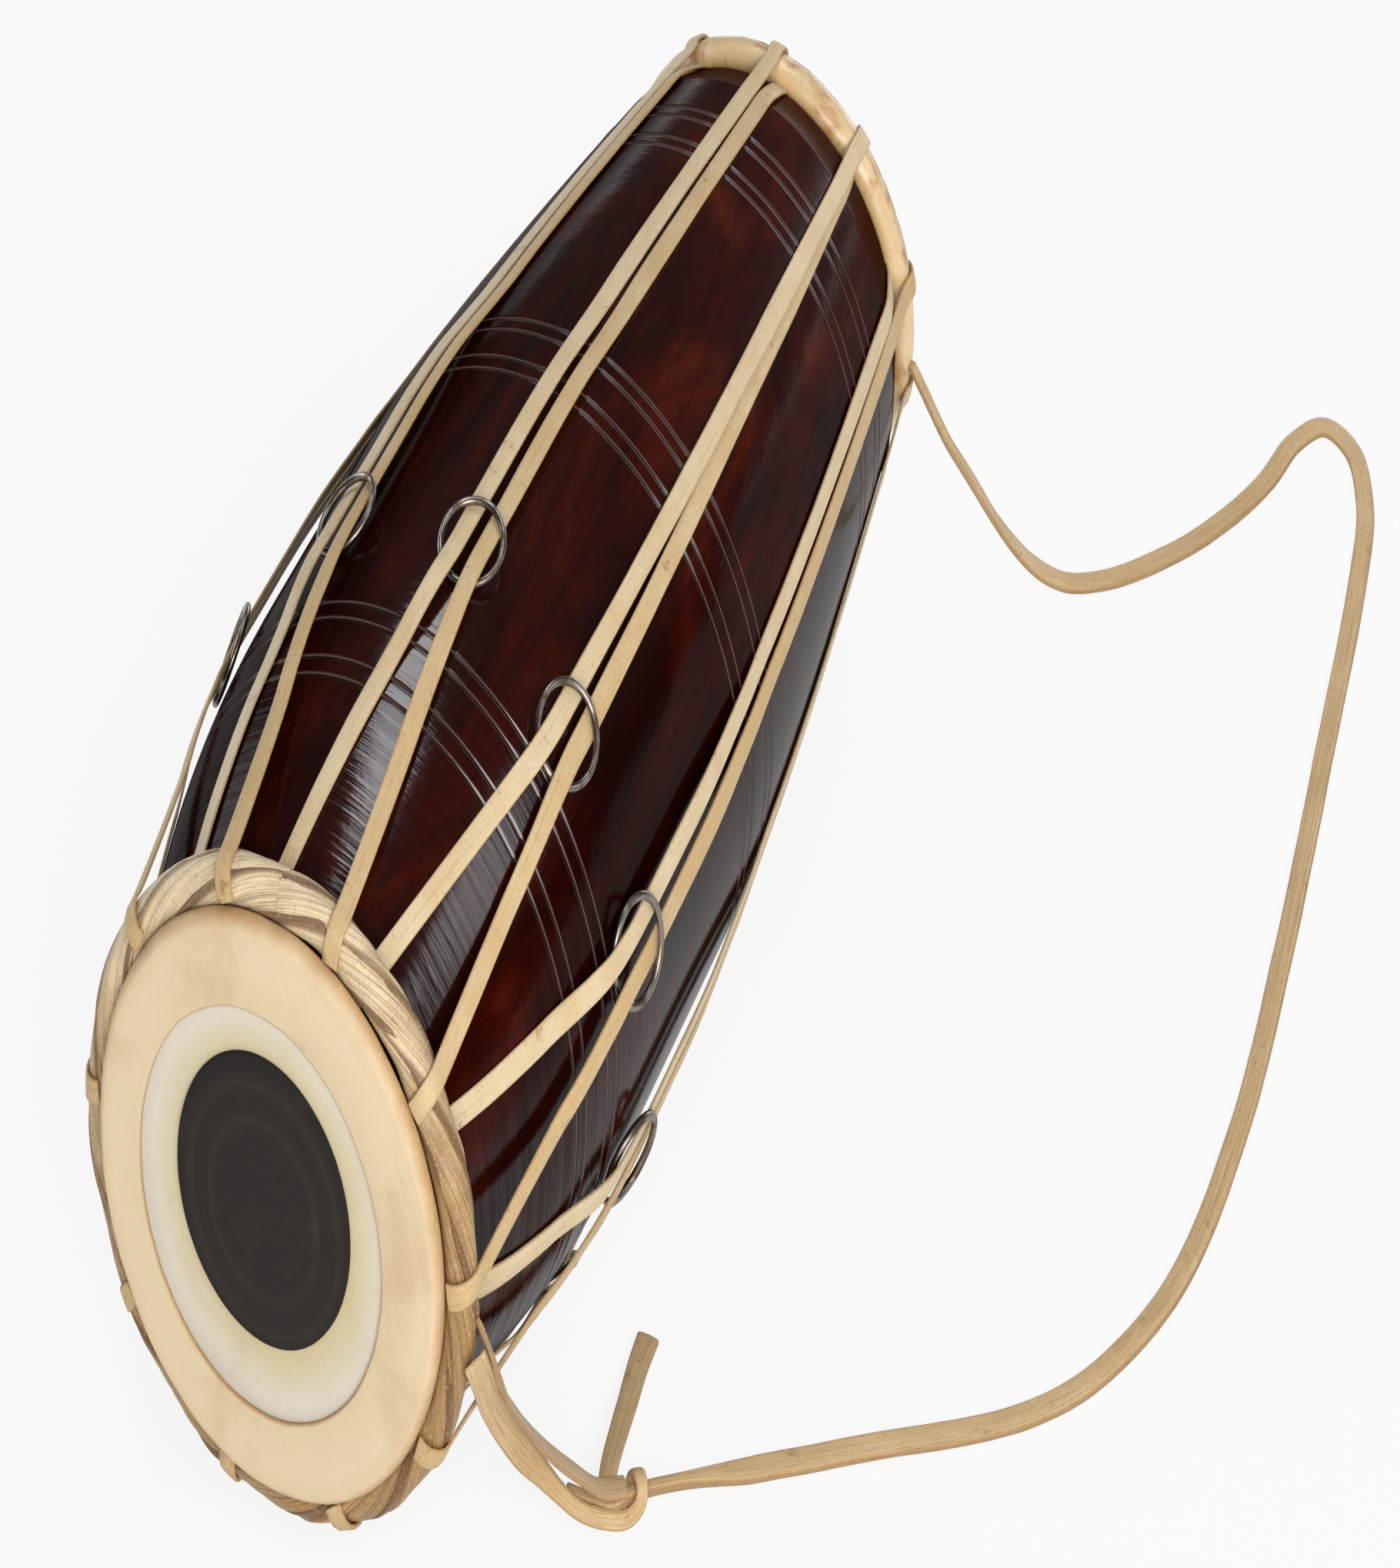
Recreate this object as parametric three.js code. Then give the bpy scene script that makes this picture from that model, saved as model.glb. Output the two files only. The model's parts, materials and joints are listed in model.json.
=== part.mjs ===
// Madal, a two-headed hand drum lying on its side: a turned wooden barrel with a laced skin at each
// end, ten V-shaped lacing thongs, a sliding steel ring on each V, and a rawhide carrying strap.
// Millimetres, +Z up. The drum's axis runs along +Y from the tuned front head to the rear head.

import * as THREE from 'three';
import { mergeVertices } from 'three/addons/utils/BufferGeometryUtils.js';

const DEG = Math.PI / 180;

// Clearances
const FIT = 0.35; // between pieces that lie against each other
const WRAP_FIT = 0.65; // under a flat thong that turns around a hoop or a lip
const SKIN_FIT = 0.3; // between skins, paste and the mouth that they are stretched over
const RING_FLOAT = 0.55; // under a tuning ring, so that it slides clear of the wood

// Barrel
const FRONT_MOUTH_Y = 2.6;
const REAR_MOUTH_Y = 452;
const BELLY_R = 101.6;
const BELLY_FRONT_Y = 140;
const BELLY_REAR_Y = 232;
const FRONT_LIP_R = 67.5;
const FRONT_POWER = 2.3;
const SHOULDER_BACK = 32; // from the rear mouth forward to the shoulder
const SHOULDER_R = 78.9;
const REAR_POWER = 1.3;
const FRONT_WALL = 12.5;
const REAR_WALL = 9.5;
const REAR_BORE_R = 50;
const REAR_BORE_FLARE = 0.6; // how fast the bore widens behind the rear mouth
const TURNED_SIDES = 36;

// Incised decoration: groups of two double lines
const FRONT_GROOVES_Y = 82;
const BELLY_GROOVES_Y = 223;
const REAR_GROOVES_BACK = 51; // from the shoulder forward to the rear group
const GROOVE_PAIR_STEP = 21;
const GROOVE_LINE_STEP = 6.4;
const GROOVE_WIDTH = 1.8;
const GROOVE_DEPTH = 0.6;

// Heads
const SKIN_T = 1.1;
const MEMBRANE_T = 0.9;
const FRONT_RIM_INNER_R = 56.6;
const FRONT_RIM_FOLD_R = 80.4;
const FRONT_RIM_LIP = 4.6;
const FRONT_PASTE_R = 40.5;
const FRONT_PASTE_T = 2;
const REAR_RIM_INNER_R = 46;
const REAR_PASTE_R = 33;
const REAR_PASTE_T = 1.8;
const PASTE_EDGE_T = 0.6;
const PASTE_CROWN_R = 0.6; // of the paste's radius, inside which it is nearly flat
const PASTE_CROWN_T = 0.85; // of its thickness there

// Front braid: three twisted rawhide strands
const BRAID_R = 83.5;
const BRAID_Y = 12;
const STRAND_R = 3;
const STRAND_LAY_R = 4;
const STRAND_COUNT = 3;
const BRAID_TWISTS = 3;
const BRAID_PHASE = 60; // degrees of lay at the top of the drum
const STRAND_STEPS = 72;
const STRAND_SIDES = 6;

// Rear hoop: a cane ring that the skin is lapped around
const HOOP_R = 68.5;
const HOOP_CANE_R = 5.6;

// Lacing
const LACE_W = 7.4;
const LACE_T = 1.5;
const LACE_COUNT = 10;
const BOTTOM_LACE = 7; // the V that the drum lies on
const CROSSED_LACE = 3; // the V whose legs lie one over the other at the rear
const SWAPPED_LACES = [4]; // Vs whose leg over the braid goes over the hoop too
const NEAR_PITCH = 34.8; // degrees between the Vs on the side that shows
const NEAR_COUNT = 7; // near pitches, from the first V round to the bottom one
const LACE_GAP = 0.4; // between the legs of a V at the rear hoop
const LACE_RING_SIDE = 5.8; // from a V's middle to a leg's middle inside its ring
const LACE_CROSSED_SIDE = 0.5; // the same at the rear of the crossed V
const LACE_SPLAY = 12.2; // degrees that each leg swings out at the front
const LACE_LIFT = 5.4; // under the thongs where the rings slide
const LACE_EASE = 80; // along the axis, in which a thong comes down behind its ring
const LACE_DIVE = 35; // the same in front, for a leg that goes under the braid
const LACE_FLAT_AHEAD = 5; // how far in front of its ring a leg leaves the plane of its V
const LACE_RUN_FRONT_Y = 66;
const LACE_STEP = 21;
const DIVE_PLACES_Y = [45, 30, 20]; // where an under leg runs in beneath the braid
const OVER_HOOP_WRAP = [4, 112]; // degrees that an over leg turns around the hoop
const UNDER_HOOP_WRAP = [282, 190];
const SHOULDER_WRAP = [15, 66]; // degrees that an under leg turns over the cove's edge
const BRAID_WRAP = [80, 190];
const SPLAY_START = 0.8; // of a ring's radius in front of its middle

// Tuning rings
const RING_R = 13.6;
const RING_WIRE_R = 1.35;
const RING_TILT = 17.5; // degrees, rear arc raised over the thongs
const RING_Y = 123;
const RING_TOP_Y = 144; // the two rings on top of the drum
const RING_BOTTOM_Y = 318; // the ring of the V that the drum lies on, slid back
const RING_TRAVEL = 40;

// Carrying strap
const STRAP_W = 8.4;
const STRAP_T = 2;
const ROLLED_W = 4; // where the strap is rolled up: at the rear hoop and at the knot
const ROLLED_T = 3;
const ROOT_SHARE = [0.05, 0.1]; // of the strap's length, in which it unrolls behind the hoop
const KNOT_SHARE = [0.955, 0.99]; // the same, in which it rolls up again into the knot
const TAIL_T = 1.6;
const TAIL_ROOT_W = 6.8;
const TAIL_END_W = 9.2;
const KNOT_W = 7;
const KNOT_T = 1.6;
const KNOT_FACE = 38; // degrees from sideways up, the way the band looks until it turns over the strap

// Places that follow from the sizes
const SHOULDER_Y = REAR_MOUTH_Y - SHOULDER_BACK;
const GROOVE_GROUPS_Y = [FRONT_GROOVES_Y, BELLY_GROOVES_Y, SHOULDER_Y - REAR_GROOVES_BACK];
const HOOP_SKIN_R = HOOP_CANE_R + SKIN_FIT + SKIN_T;
const REAR_FACE_Y = REAR_MOUTH_Y + SKIN_FIT + MEMBRANE_T + SKIN_FIT + SKIN_T;
const HOOP_Y = REAR_FACE_Y - HOOP_SKIN_R;
const HOOP_WRAP_R = HOOP_SKIN_R + WRAP_FIT + LACE_T / 2;
const COVE_R = HOOP_WRAP_R + LACE_T / 2 + WRAP_FIT;
const COVE_FROM = 165; // degrees, where the cove meets the chamfer behind the shoulder
const BRAID_BUNDLE_R = STRAND_LAY_R + STRAND_R;
const BRAID_WRAP_R = BRAID_BUNDLE_R + FIT + LACE_T / 2;
const FLOOR = BELLY_R + LACE_LIFT + LACE_T; // from the axis down to the floor
const FAR_PITCH = (360 - NEAR_COUNT * NEAR_PITCH) / (LACE_COUNT - NEAR_COUNT);

// Outer radius of the barrel at a place along the axis
function barrelRadius(y) {
  if (y < BELLY_FRONT_Y) {
    const share = (BELLY_FRONT_Y - y) / (BELLY_FRONT_Y - FRONT_MOUTH_Y);
    return BELLY_R - (BELLY_R - FRONT_LIP_R) * share ** FRONT_POWER;
  }
  const share = Math.max(0, y - BELLY_REAR_Y) / (SHOULDER_Y - BELLY_REAR_Y);
  return BELLY_R - (BELLY_R - SHOULDER_R) * share ** REAR_POWER;
}

// Radius of the bore, which follows the barrel and narrows to a lip at the rear mouth
function boreRadius(y) {
  const wall = THREE.MathUtils.mapLinear(y, FRONT_MOUTH_Y, REAR_MOUTH_Y, FRONT_WALL, REAR_WALL);
  return Math.min(barrelRadius(y) - wall, REAR_BORE_R + (REAR_MOUTH_Y - y) * REAR_BORE_FLARE);
}

// A point at a radius, a place along the axis and an angle from straight up toward +X
function drumPoint(r, y, angle) {
  return new THREE.Vector3(r * Math.sin(angle * DEG), y, r * Math.cos(angle * DEG));
}

// Evenly spaced values from one end to the other, both included
function spread(from, to, steps) {
  return Array.from({ length: steps + 1 }, (_, i) => from + ((to - from) * i) / steps);
}

// Points on an arc around a centre in the half plane of radius and axis; 0 points along +Y
function arc(centreR, centreY, radius, fromDeg, toDeg, steps) {
  return spread(fromDeg, toDeg, steps).map((a) => ({
    r: centreR + radius * Math.sin(a * DEG),
    y: centreY + radius * Math.cos(a * DEG),
    a,
  }));
}

// A solid of revolution from its outline, given as radius and place along the axis
function turned(outline) {
  const points = outline.map(({ r, y }) => new THREE.Vector2(r, y));
  const lathe = new THREE.LatheGeometry(points, TURNED_SIDES);
  lathe.deleteAttribute('normal');
  lathe.deleteAttribute('uv');
  return mergeVertices(lathe, 1e-4);
}

// A closed ring section, turned, whose outline ends where it begins
function turnedRing(outline) {
  return turned([...outline, outline[0]]);
}

// A solid through a row of sections, capped at both ends unless it closes on itself
function loft(sections, closed = false) {
  const sides = sections[0].length;
  const index = [];
  const spans = closed ? sections.length : sections.length - 1;
  for (let i = 0; i < spans; i += 1) {
    const a = i * sides;
    const b = ((i + 1) % sections.length) * sides;
    for (let k = 0; k < sides; k += 1) {
      const n = (k + 1) % sides;
      index.push(a + k, a + n, b + k);
      index.push(a + n, b + n, b + k);
    }
  }
  if (!closed) {
    const last = (sections.length - 1) * sides;
    for (let k = 1; k < sides - 1; k += 1) {
      index.push(0, k + 1, k);
      index.push(last, last + k, last + k + 1);
    }
  }
  const geometry = new THREE.BufferGeometry();
  geometry.setFromPoints(sections.flat());
  geometry.setIndex(index);
  return geometry;
}

// Sections along a path; each station has a point, the way its face looks and, if it isn't the common
// one, its outline
function sectionsAlong(stations, common, closed = false) {
  const count = stations.length;
  return stations.map(({ point, face, outline = common }, i) => {
    const before = closed ? (i + count - 1) % count : Math.max(i - 1, 0);
    const after = closed ? (i + 1) % count : Math.min(i + 1, count - 1);
    const tangent = stations[after].point.clone().sub(stations[before].point).normalize();
    const across = tangent.clone().cross(face).normalize();
    const normal = across.clone().cross(tangent);
    return outline.map(([out, side]) => {
      const corner = point.clone().addScaledVector(normal, out);
      return corner.addScaledVector(across, side);
    });
  });
}

// Flat section of a thong, with square edges
function thongOutline(width, thickness) {
  const w = width / 2;
  const t = thickness / 2;
  return [[t, -w], [t, w], [-t, w], [-t, -w]];
}

// Flat section of a strap, with eased edges
function strapOutline(width, thickness) {
  const w = width / 2;
  const t = thickness / 2;
  const ease = thickness / 4;
  return [
    [t, -w + t], [t, w - t], [ease, w], [-ease, w], [-t, w - t], [-t, -w + t], [-ease, -w], [ease, -w],
  ];
}

// Round section of a strand
function roundOutline(radius, sides) {
  return spread(0, 360, sides)
    .slice(0, sides)
    .map((a) => [radius * Math.cos(a * DEG), radius * Math.sin(a * DEG)]);
}

const leather = (color) => new THREE.MeshStandardMaterial({ color, roughness: 0.7, metalness: 0 });
const wood = () => new THREE.MeshStandardMaterial({ color: 0x3a1710, roughness: 0.25, metalness: 0 });
const paste = () => new THREE.MeshStandardMaterial({ color: 0x26262a, roughness: 0.95, metalness: 0 });
const steel = () => new THREE.MeshStandardMaterial({ color: 0x7d756c, roughness: 0.35, metalness: 1 });
const cane = () => new THREE.MeshStandardMaterial({ color: 0xb08a55, roughness: 0.8, metalness: 0 });

const CREAM = 0xdcc49a;
const TAN = 0xc39a62;
const PALE = 0xd9d0c0;

const drum = new THREE.Group();

function add(name, geometry, material) {
  const mesh = new THREE.Mesh(geometry, material);
  mesh.name = name;
  drum.add(mesh);
  return mesh;
}

// Barrel: the outline runs up the outside with its incised lines, round the cove that the rear
// hoop sits in, and back down the bore
function shellOutline() {
  const lines = GROOVE_GROUPS_Y.flatMap((y) => [
    y, y + GROOVE_LINE_STEP, y + GROOVE_PAIR_STEP, y + GROOVE_PAIR_STEP + GROOVE_LINE_STEP,
  ]);
  const plain = [...spread(FRONT_MOUTH_Y, BELLY_FRONT_Y, 6), ...spread(BELLY_REAR_Y, SHOULDER_Y, 6)];
  const nearLine = (y) => lines.some((line) => Math.abs(line - y) < 2 * GROOVE_WIDTH);
  const outside = plain.filter((y) => !nearLine(y)).map((y) => ({ y, r: barrelRadius(y) }));
  for (const line of lines) {
    for (const side of [-1, 0, 1]) {
      const y = line + (side * GROOVE_WIDTH) / 2;
      outside.push({ y, r: barrelRadius(y) - (side === 0 ? GROOVE_DEPTH : 0) });
    }
  }
  outside.sort((p, q) => p.y - q.y);
  const cove = arc(HOOP_R, HOOP_Y, COVE_R, COVE_FROM, 270, 4);
  const seat = { r: HOOP_R - COVE_R, y: REAR_MOUTH_Y };
  const bore = spread(REAR_MOUTH_Y, FRONT_MOUTH_Y, 10).map((y) => ({ y, r: boreRadius(y) }));
  return [...outside, ...cove, seat, ...bore];
}

// Front head: a membrane over the mouth, a ring of outer skin turned back at its edge, and the paste
function buildFrontHead() {
  const rimBack = SKIN_T;
  const membraneFront = rimBack + SKIN_FIT;
  const membraneBack = membraneFront + MEMBRANE_T;
  const membraneR = FRONT_RIM_FOLD_R - SKIN_T - 2 * FIT - FRONT_RIM_LIP / 2;
  add('front_membrane', turned([
    { r: 0, y: membraneFront }, { r: membraneR, y: membraneFront },
    { r: membraneR, y: membraneBack }, { r: 0, y: membraneBack },
  ]), leather(PALE));

  const bend = FRONT_RIM_LIP - SKIN_T;
  const foldR = FRONT_RIM_FOLD_R - bend;
  const outer = arc(foldR, bend, bend, 180, 90, 3);
  const inner = arc(foldR, bend, bend - SKIN_T, 90, 180, 3);
  add('front_rim_skin', turnedRing([
    { r: FRONT_RIM_INNER_R, y: 0 }, ...outer, { r: FRONT_RIM_FOLD_R, y: FRONT_RIM_LIP },
    { r: FRONT_RIM_FOLD_R - SKIN_T, y: FRONT_RIM_LIP }, ...inner,
    { r: FRONT_RIM_INNER_R, y: rimBack },
  ]), leather(CREAM));

  const pasteBack = membraneFront - SKIN_FIT;
  add('front_paste', turned([
    { r: 0, y: pasteBack - FRONT_PASTE_T },
    { r: FRONT_PASTE_R * PASTE_CROWN_R, y: pasteBack - FRONT_PASTE_T * PASTE_CROWN_T },
    { r: FRONT_PASTE_R, y: pasteBack - PASTE_EDGE_T },
    { r: FRONT_PASTE_R, y: pasteBack }, { r: 0, y: pasteBack },
  ]), paste());
}

// Rear head: the outer skin runs on around the cane hoop; membrane and paste as in front
function buildRearHead() {
  const membraneFront = REAR_MOUTH_Y + SKIN_FIT;
  const membraneBack = membraneFront + MEMBRANE_T;
  const membraneR = HOOP_R - COVE_R + FIT;
  add('rear_membrane', turned([
    { r: 0, y: membraneFront }, { r: membraneR, y: membraneFront },
    { r: membraneR, y: membraneBack }, { r: 0, y: membraneBack },
  ]), leather(PALE));

  const lap = arc(HOOP_R, HOOP_Y, HOOP_SKIN_R, 240, 0, 8);
  const lining = arc(HOOP_R, HOOP_Y, HOOP_SKIN_R - SKIN_T, 0, 240, 8);
  add('rear_rim_skin', turnedRing([
    ...lap, { r: REAR_RIM_INNER_R, y: REAR_FACE_Y },
    { r: REAR_RIM_INNER_R, y: REAR_FACE_Y - SKIN_T }, ...lining,
  ]), leather(TAN));

  const ring = arc(HOOP_R, HOOP_Y, HOOP_CANE_R, 360, 0, 9).slice(0, 9);
  add('rear_hoop', turnedRing(ring), cane());

  const pasteFront = membraneBack + SKIN_FIT;
  add('rear_paste', turned([
    { r: 0, y: pasteFront }, { r: REAR_PASTE_R, y: pasteFront },
    { r: REAR_PASTE_R, y: pasteFront + PASTE_EDGE_T },
    { r: REAR_PASTE_R * PASTE_CROWN_R, y: pasteFront + REAR_PASTE_T * PASTE_CROWN_T },
    { r: 0, y: pasteFront + REAR_PASTE_T },
  ]), paste());
}

// Least distance between the points of two paths, less the thickness of what follows them
function leastGap(pathA, pathB, thickness) {
  let least = Infinity;
  for (const a of pathA) {
    for (const b of pathB) least = Math.min(least, a.distanceTo(b));
  }
  return least - thickness;
}

// Front braid: each strand winds around the bundle's circle a whole number of times and closes
function buildBraid() {
  const paths = [];
  for (let k = 0; k < STRAND_COUNT; k += 1) {
    const stations = spread(0, 360, STRAND_STEPS).slice(0, STRAND_STEPS).map((angle) => {
      const lay = BRAID_PHASE + BRAID_TWISTS * angle + (360 * k) / STRAND_COUNT;
      const out = Math.cos(lay * DEG);
      const along = Math.sin(lay * DEG);
      const point = drumPoint(BRAID_R + STRAND_LAY_R * out, BRAID_Y + STRAND_LAY_R * along, angle);
      const face = drumPoint(out, along, angle);
      return { point, face };
    });
    paths.push(stations.map(({ point }) => point));
    const sections = sectionsAlong(stations, roundOutline(STRAND_R, STRAND_SIDES), true);
    add(`front_braid_strand_${k + 1}`, loft(sections, true), leather(TAN));
  }
  console.log('least gap between braid strands, mm:', leastGap(paths[0], paths[1], 2 * STRAND_R).toFixed(2));
}

// Angle of each V: an even pitch on the side that shows, ending at the bottom, and the rest beyond
function laceAngle(k) {
  const nearest = 180 - BOTTOM_LACE * NEAR_PITCH;
  if (k <= NEAR_COUNT) return nearest + k * NEAR_PITCH;
  return 180 + (k - NEAR_COUNT) * FAR_PITCH;
}

// Place of each tuning ring along the axis
function ringPlace(k) {
  if (k === BOTTOM_LACE) return RING_BOTTOM_Y;
  const fromTop = Math.abs(laceAngle(k));
  return fromTop < NEAR_PITCH ? RING_TOP_Y : RING_Y;
}

// Where the legs of a V leave the plane that they share
function flatEnd(k) {
  return Math.min(ringPlace(k) - RING_R - LACE_FLAT_AHEAD, BELLY_FRONT_Y);
}

// Height of a thong's lower face over the wood: raised where its ring slides, and down on the wood
// behind that; a leg that goes under the braid comes down in front of its ring too
function laceLift(k, y, over, overHoop) {
  const slideEnd = ringPlace(k) + RING_TRAVEL + RING_R;
  const behind = THREE.MathUtils.smoothstep(y, slideEnd, slideEnd + LACE_EASE);
  const rest = overHoop && k === CROSSED_LACE ? FIT + LACE_T + WRAP_FIT : FIT;
  const lift = THREE.MathUtils.lerp(LACE_LIFT, rest, behind);
  if (over) return lift;
  const raised = THREE.MathUtils.smoothstep(y, flatEnd(k) - LACE_DIVE, flatEnd(k));
  return THREE.MathUtils.lerp(FIT, lift, raised);
}

// Sideways place of a leg's middle: closing toward the hoop behind the ring, swinging out in front
function laceSide(k, y) {
  const start = ringPlace(k) - RING_R * SPLAY_START;
  const apart = BRAID_R * LACE_SPLAY * DEG;
  const atHoop = k === CROSSED_LACE ? LACE_CROSSED_SIDE : (LACE_W + LACE_GAP) / 2;
  const ahead = THREE.MathUtils.clamp((start - y) / (start - BRAID_Y), 0, 1);
  const behind = THREE.MathUtils.clamp((y - start) / (HOOP_Y - start), 0, 1);
  const splayed = THREE.MathUtils.lerp(LACE_RING_SIDE, apart, ahead);
  return THREE.MathUtils.lerp(splayed, atHoop, behind);
}

// Places of a thong's stations between two places along the axis
function stretch(from, to) {
  return spread(from, to, Math.round(Math.abs(to - from) / LACE_STEP));
}

// One leg of a V from the rear hoop to the front braid. It goes over the braid or under it, and mostly
// the other way round at the hoop. Along the belly the two legs lie in one plane, which the drum rests on
function laceLeg(k, over) {
  const overHoop = over === SWAPPED_LACES.includes(k);
  const sign = over ? 1 : -1;
  const station = (r, y, outR, outY) => {
    const angle = laceAngle(k) + (sign * laceSide(k, y)) / r / DEG;
    return { point: drumPoint(r, y, angle), face: drumPoint(outR, outY, angle) };
  };
  const around = (points, sense) => points.map(({ r, y, a }) =>
    station(r, y, sense * Math.sin(a * DEG), sense * Math.cos(a * DEG)));
  const [edge] = arc(HOOP_R, HOOP_Y, COVE_R, COVE_FROM, 270, 1);
  const hoopWrap = overHoop
    ? around(arc(HOOP_R, HOOP_Y, HOOP_WRAP_R, ...OVER_HOOP_WRAP, 5), 1)
    : [
      ...around(arc(HOOP_R, HOOP_Y, HOOP_WRAP_R, ...UNDER_HOOP_WRAP, 4), -1),
      ...around(arc(edge.r, edge.y, WRAP_FIT + LACE_T / 2, ...SHOULDER_WRAP, 2), 1),
    ];
  const height = (y) => barrelRadius(y) + laceLift(k, y, over, overHoop) + LACE_T / 2;
  const flat = (y) => {
    const level = drumPoint(height(y), y, laceAngle(k));
    const aside = drumPoint(1, 0, laceAngle(k) + 90);
    const point = level.addScaledVector(aside, sign * laceSide(k, y));
    return { point, face: drumPoint(1, 0, laceAngle(k)) };
  };
  const run = [
    ...stretch(SHOULDER_Y, BELLY_REAR_Y).map(flat),
    ...stretch(BELLY_REAR_Y, flatEnd(k)).map(flat).slice(1),
    ...stretch(flatEnd(k), LACE_RUN_FRONT_Y).map((y) => station(height(y), y, 1, 0)).slice(1),
  ];
  const divePlaces = [...DIVE_PLACES_Y, BRAID_Y, BRAID_Y / 2];
  const dive = divePlaces.map((y) => station(height(y), y, 1, 0));
  const braidEnd = over ? around(arc(BRAID_R, BRAID_Y, BRAID_WRAP_R, ...BRAID_WRAP, 5), 1) : dive;
  return [...hoopWrap, ...run, ...braidEnd];
}

function buildLacing() {
  for (let k = 0; k < LACE_COUNT; k += 1) {
    for (const over of [true, false]) {
      const sections = sectionsAlong(laceLeg(k, over), thongOutline(LACE_W, LACE_T));
      add(`lacing_${k + 1}_${over ? 'over' : 'under'}`, loft(sections), leather(CREAM));
    }
  }
}

// Tuning rings: each lies tilted on its V, front arc under both legs and rear arc over them
function buildRings() {
  for (let k = 0; k < LACE_COUNT; k += 1) {
    const y = ringPlace(k);
    const angle = laceAngle(k);
    const start = barrelRadius(y);
    const slope = (barrelRadius(y + RING_TRAVEL) - start) / RING_TRAVEL;
    const tangent = barrelRadius(y + 1) - start;
    const lean = RING_TILT + Math.atan((slope + tangent) / 2) / DEG;
    const along = drumPoint(Math.sin(lean * DEG), Math.cos(lean * DEG), angle);
    const across = drumPoint(1, 0, angle + 90);
    const up = across.clone().cross(along);
    const height = RING_FLOAT + RING_WIRE_R + RING_R * Math.sin(RING_TILT * DEG);
    const ring = new THREE.TorusGeometry(RING_R, RING_WIRE_R, 6, 17);
    ring.deleteAttribute('normal');
    ring.deleteAttribute('uv');
    const mesh = add(`tuning_ring_${k + 1}`, mergeVertices(ring, 1e-4), steel());
    mesh.quaternion.setFromRotationMatrix(new THREE.Matrix4().makeBasis(across, along, up));
    mesh.position.copy(drumPoint(start + height, y, angle));
  }
}

// Carrying strap: hand-laid routes from the rear hoop over the floor to the knot beside the front head,
// and from the knot to the braid; heights are above the floor
const FACE_UP = new THREE.Vector3(0, 0, 1);
const FACE_OUT = new THREE.Vector3(1, 0, 0);
const LOWER_FACE = new THREE.Vector3(0.36, -0.7, 0.61);
const UPPER_FACE = new THREE.Vector3(0.42, 0.71, 0.565);
const STRAP_ROUTE = [
  [76, 446, 96.6], [79, 453, 84], [84, 465, 62], [91, 479, 40], [100, 490, 20], [112, 497, 7], [126, 502, 2],
  [142, 511, 2], [157, 526, 2], [177, 554, 2], [192, 587, 2], [198, 613, 2], [208, 627, 2], [224, 622, 2],
  [239, 599, 2], [249, 559, 2], [261, 487, 2], [274, 405, 2], [283, 327, 2], [281, 261, 2], [265, 217, 2],
  [243, 189, 2], [192, 148, 4], [157, 119, 7], [132, 99, 10], [119.3, 88.3, 10],
];
const LOWER_ROUTE = [
  [91.6, 10, 92.6], [90.4, 18, 81], [88, 28.7, 66], [86.7, 44.4, 46], [87.7, 57.2, 30], [90.4, 66.9, 18],
  [95.2, 71.3, 11], [101.4, 73.2, 7], [107, 74.8, 5], [112.2, 76.8, 4.2],
];
const UPPER_ROUTE = [
  [91.6, 13, 101.3], [94.2, 19, 88], [95.4, 25.9, 74], [93.3, 43.9, 52], [94.1, 55.6, 38], [96.1, 65.2, 27],
  [102, 73.5, 18], [109.8, 79, 13.2], [119, 88.1, 12],
];
const TAIL_ROUTE = [
  [112.6, 80.6, 10.4], [110.3, 84.4, 10.4], [107.1, 93.5, 9], [104.3, 105.5, 7], [101.5, 119, 5],
  [98.4, 133.2, 3.2], [96.9, 144.4, 2],
];
const KNOT_ROUTE = [
  [113.4, 77.7, 4.2], [116.8, 80.2, 4], [120.3, 82.4, 4.8], [123.3, 84.5, 6.9], [125.5, 85.4, 11.1],
  [124.7, 87.5, 14.8], [121.8, 90.4, 16.4], [118.5, 92.9, 14.8], [116, 93.7, 10], [116.2, 91.2, 5],
  [117.7, 87.8, 3.4],
];
const KNOT_CENTRE = [119, 88.1, 10];
const KNOT_AXIS = new THREE.Vector3(-0.776, -0.63, 0).normalize();

const floorPoint = ([x, y, height]) => new THREE.Vector3(x, y, height - FLOOR);
const routeCurve = (route) => new THREE.CatmullRomCurve3(route.map(floorPoint), false, 'centripetal');
const share = (t, [from, to]) => THREE.MathUtils.smoothstep(t, from, to);

// A strap along a route; its face turns from one way to another, and its section may change
function layStrap(name, route, steps, faces, turned, outlineAt) {
  const curve = routeCurve(route);
  const stations = spread(0, 1, steps).map((t) => ({
    point: curve.getPointAt(t),
    face: faces[0].clone().lerp(faces[1], share(t, turned)),
    outline: outlineAt(t),
  }));
  add(name, loft(sectionsAlong(stations)), leather(TAN));
}

// Knot: the lower strand swings up around the other strands and tucks in beneath them
function buildKnot() {
  const curve = routeCurve(KNOT_ROUTE);
  const sideways = new THREE.Vector3().crossVectors(FACE_UP, KNOT_AXIS);
  const stations = spread(0, 1, 30).map((t) => {
    const point = curve.getPointAt(t);
    const out = point.clone().sub(floorPoint(KNOT_CENTRE));
    const turn = Math.atan2(out.z, out.dot(sideways)) / DEG;
    const wound = turn < 0 && out.dot(sideways) < 0 ? turn + 360 : turn;
    const looks = Math.max(wound, KNOT_FACE) * DEG;
    const face = sideways.clone().multiplyScalar(Math.cos(looks)).addScaledVector(FACE_UP, Math.sin(looks));
    return { point, face };
  });
  add('carry_knot', loft(sectionsAlong(stations, strapOutline(KNOT_W, KNOT_T))), leather(TAN));
}

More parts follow.
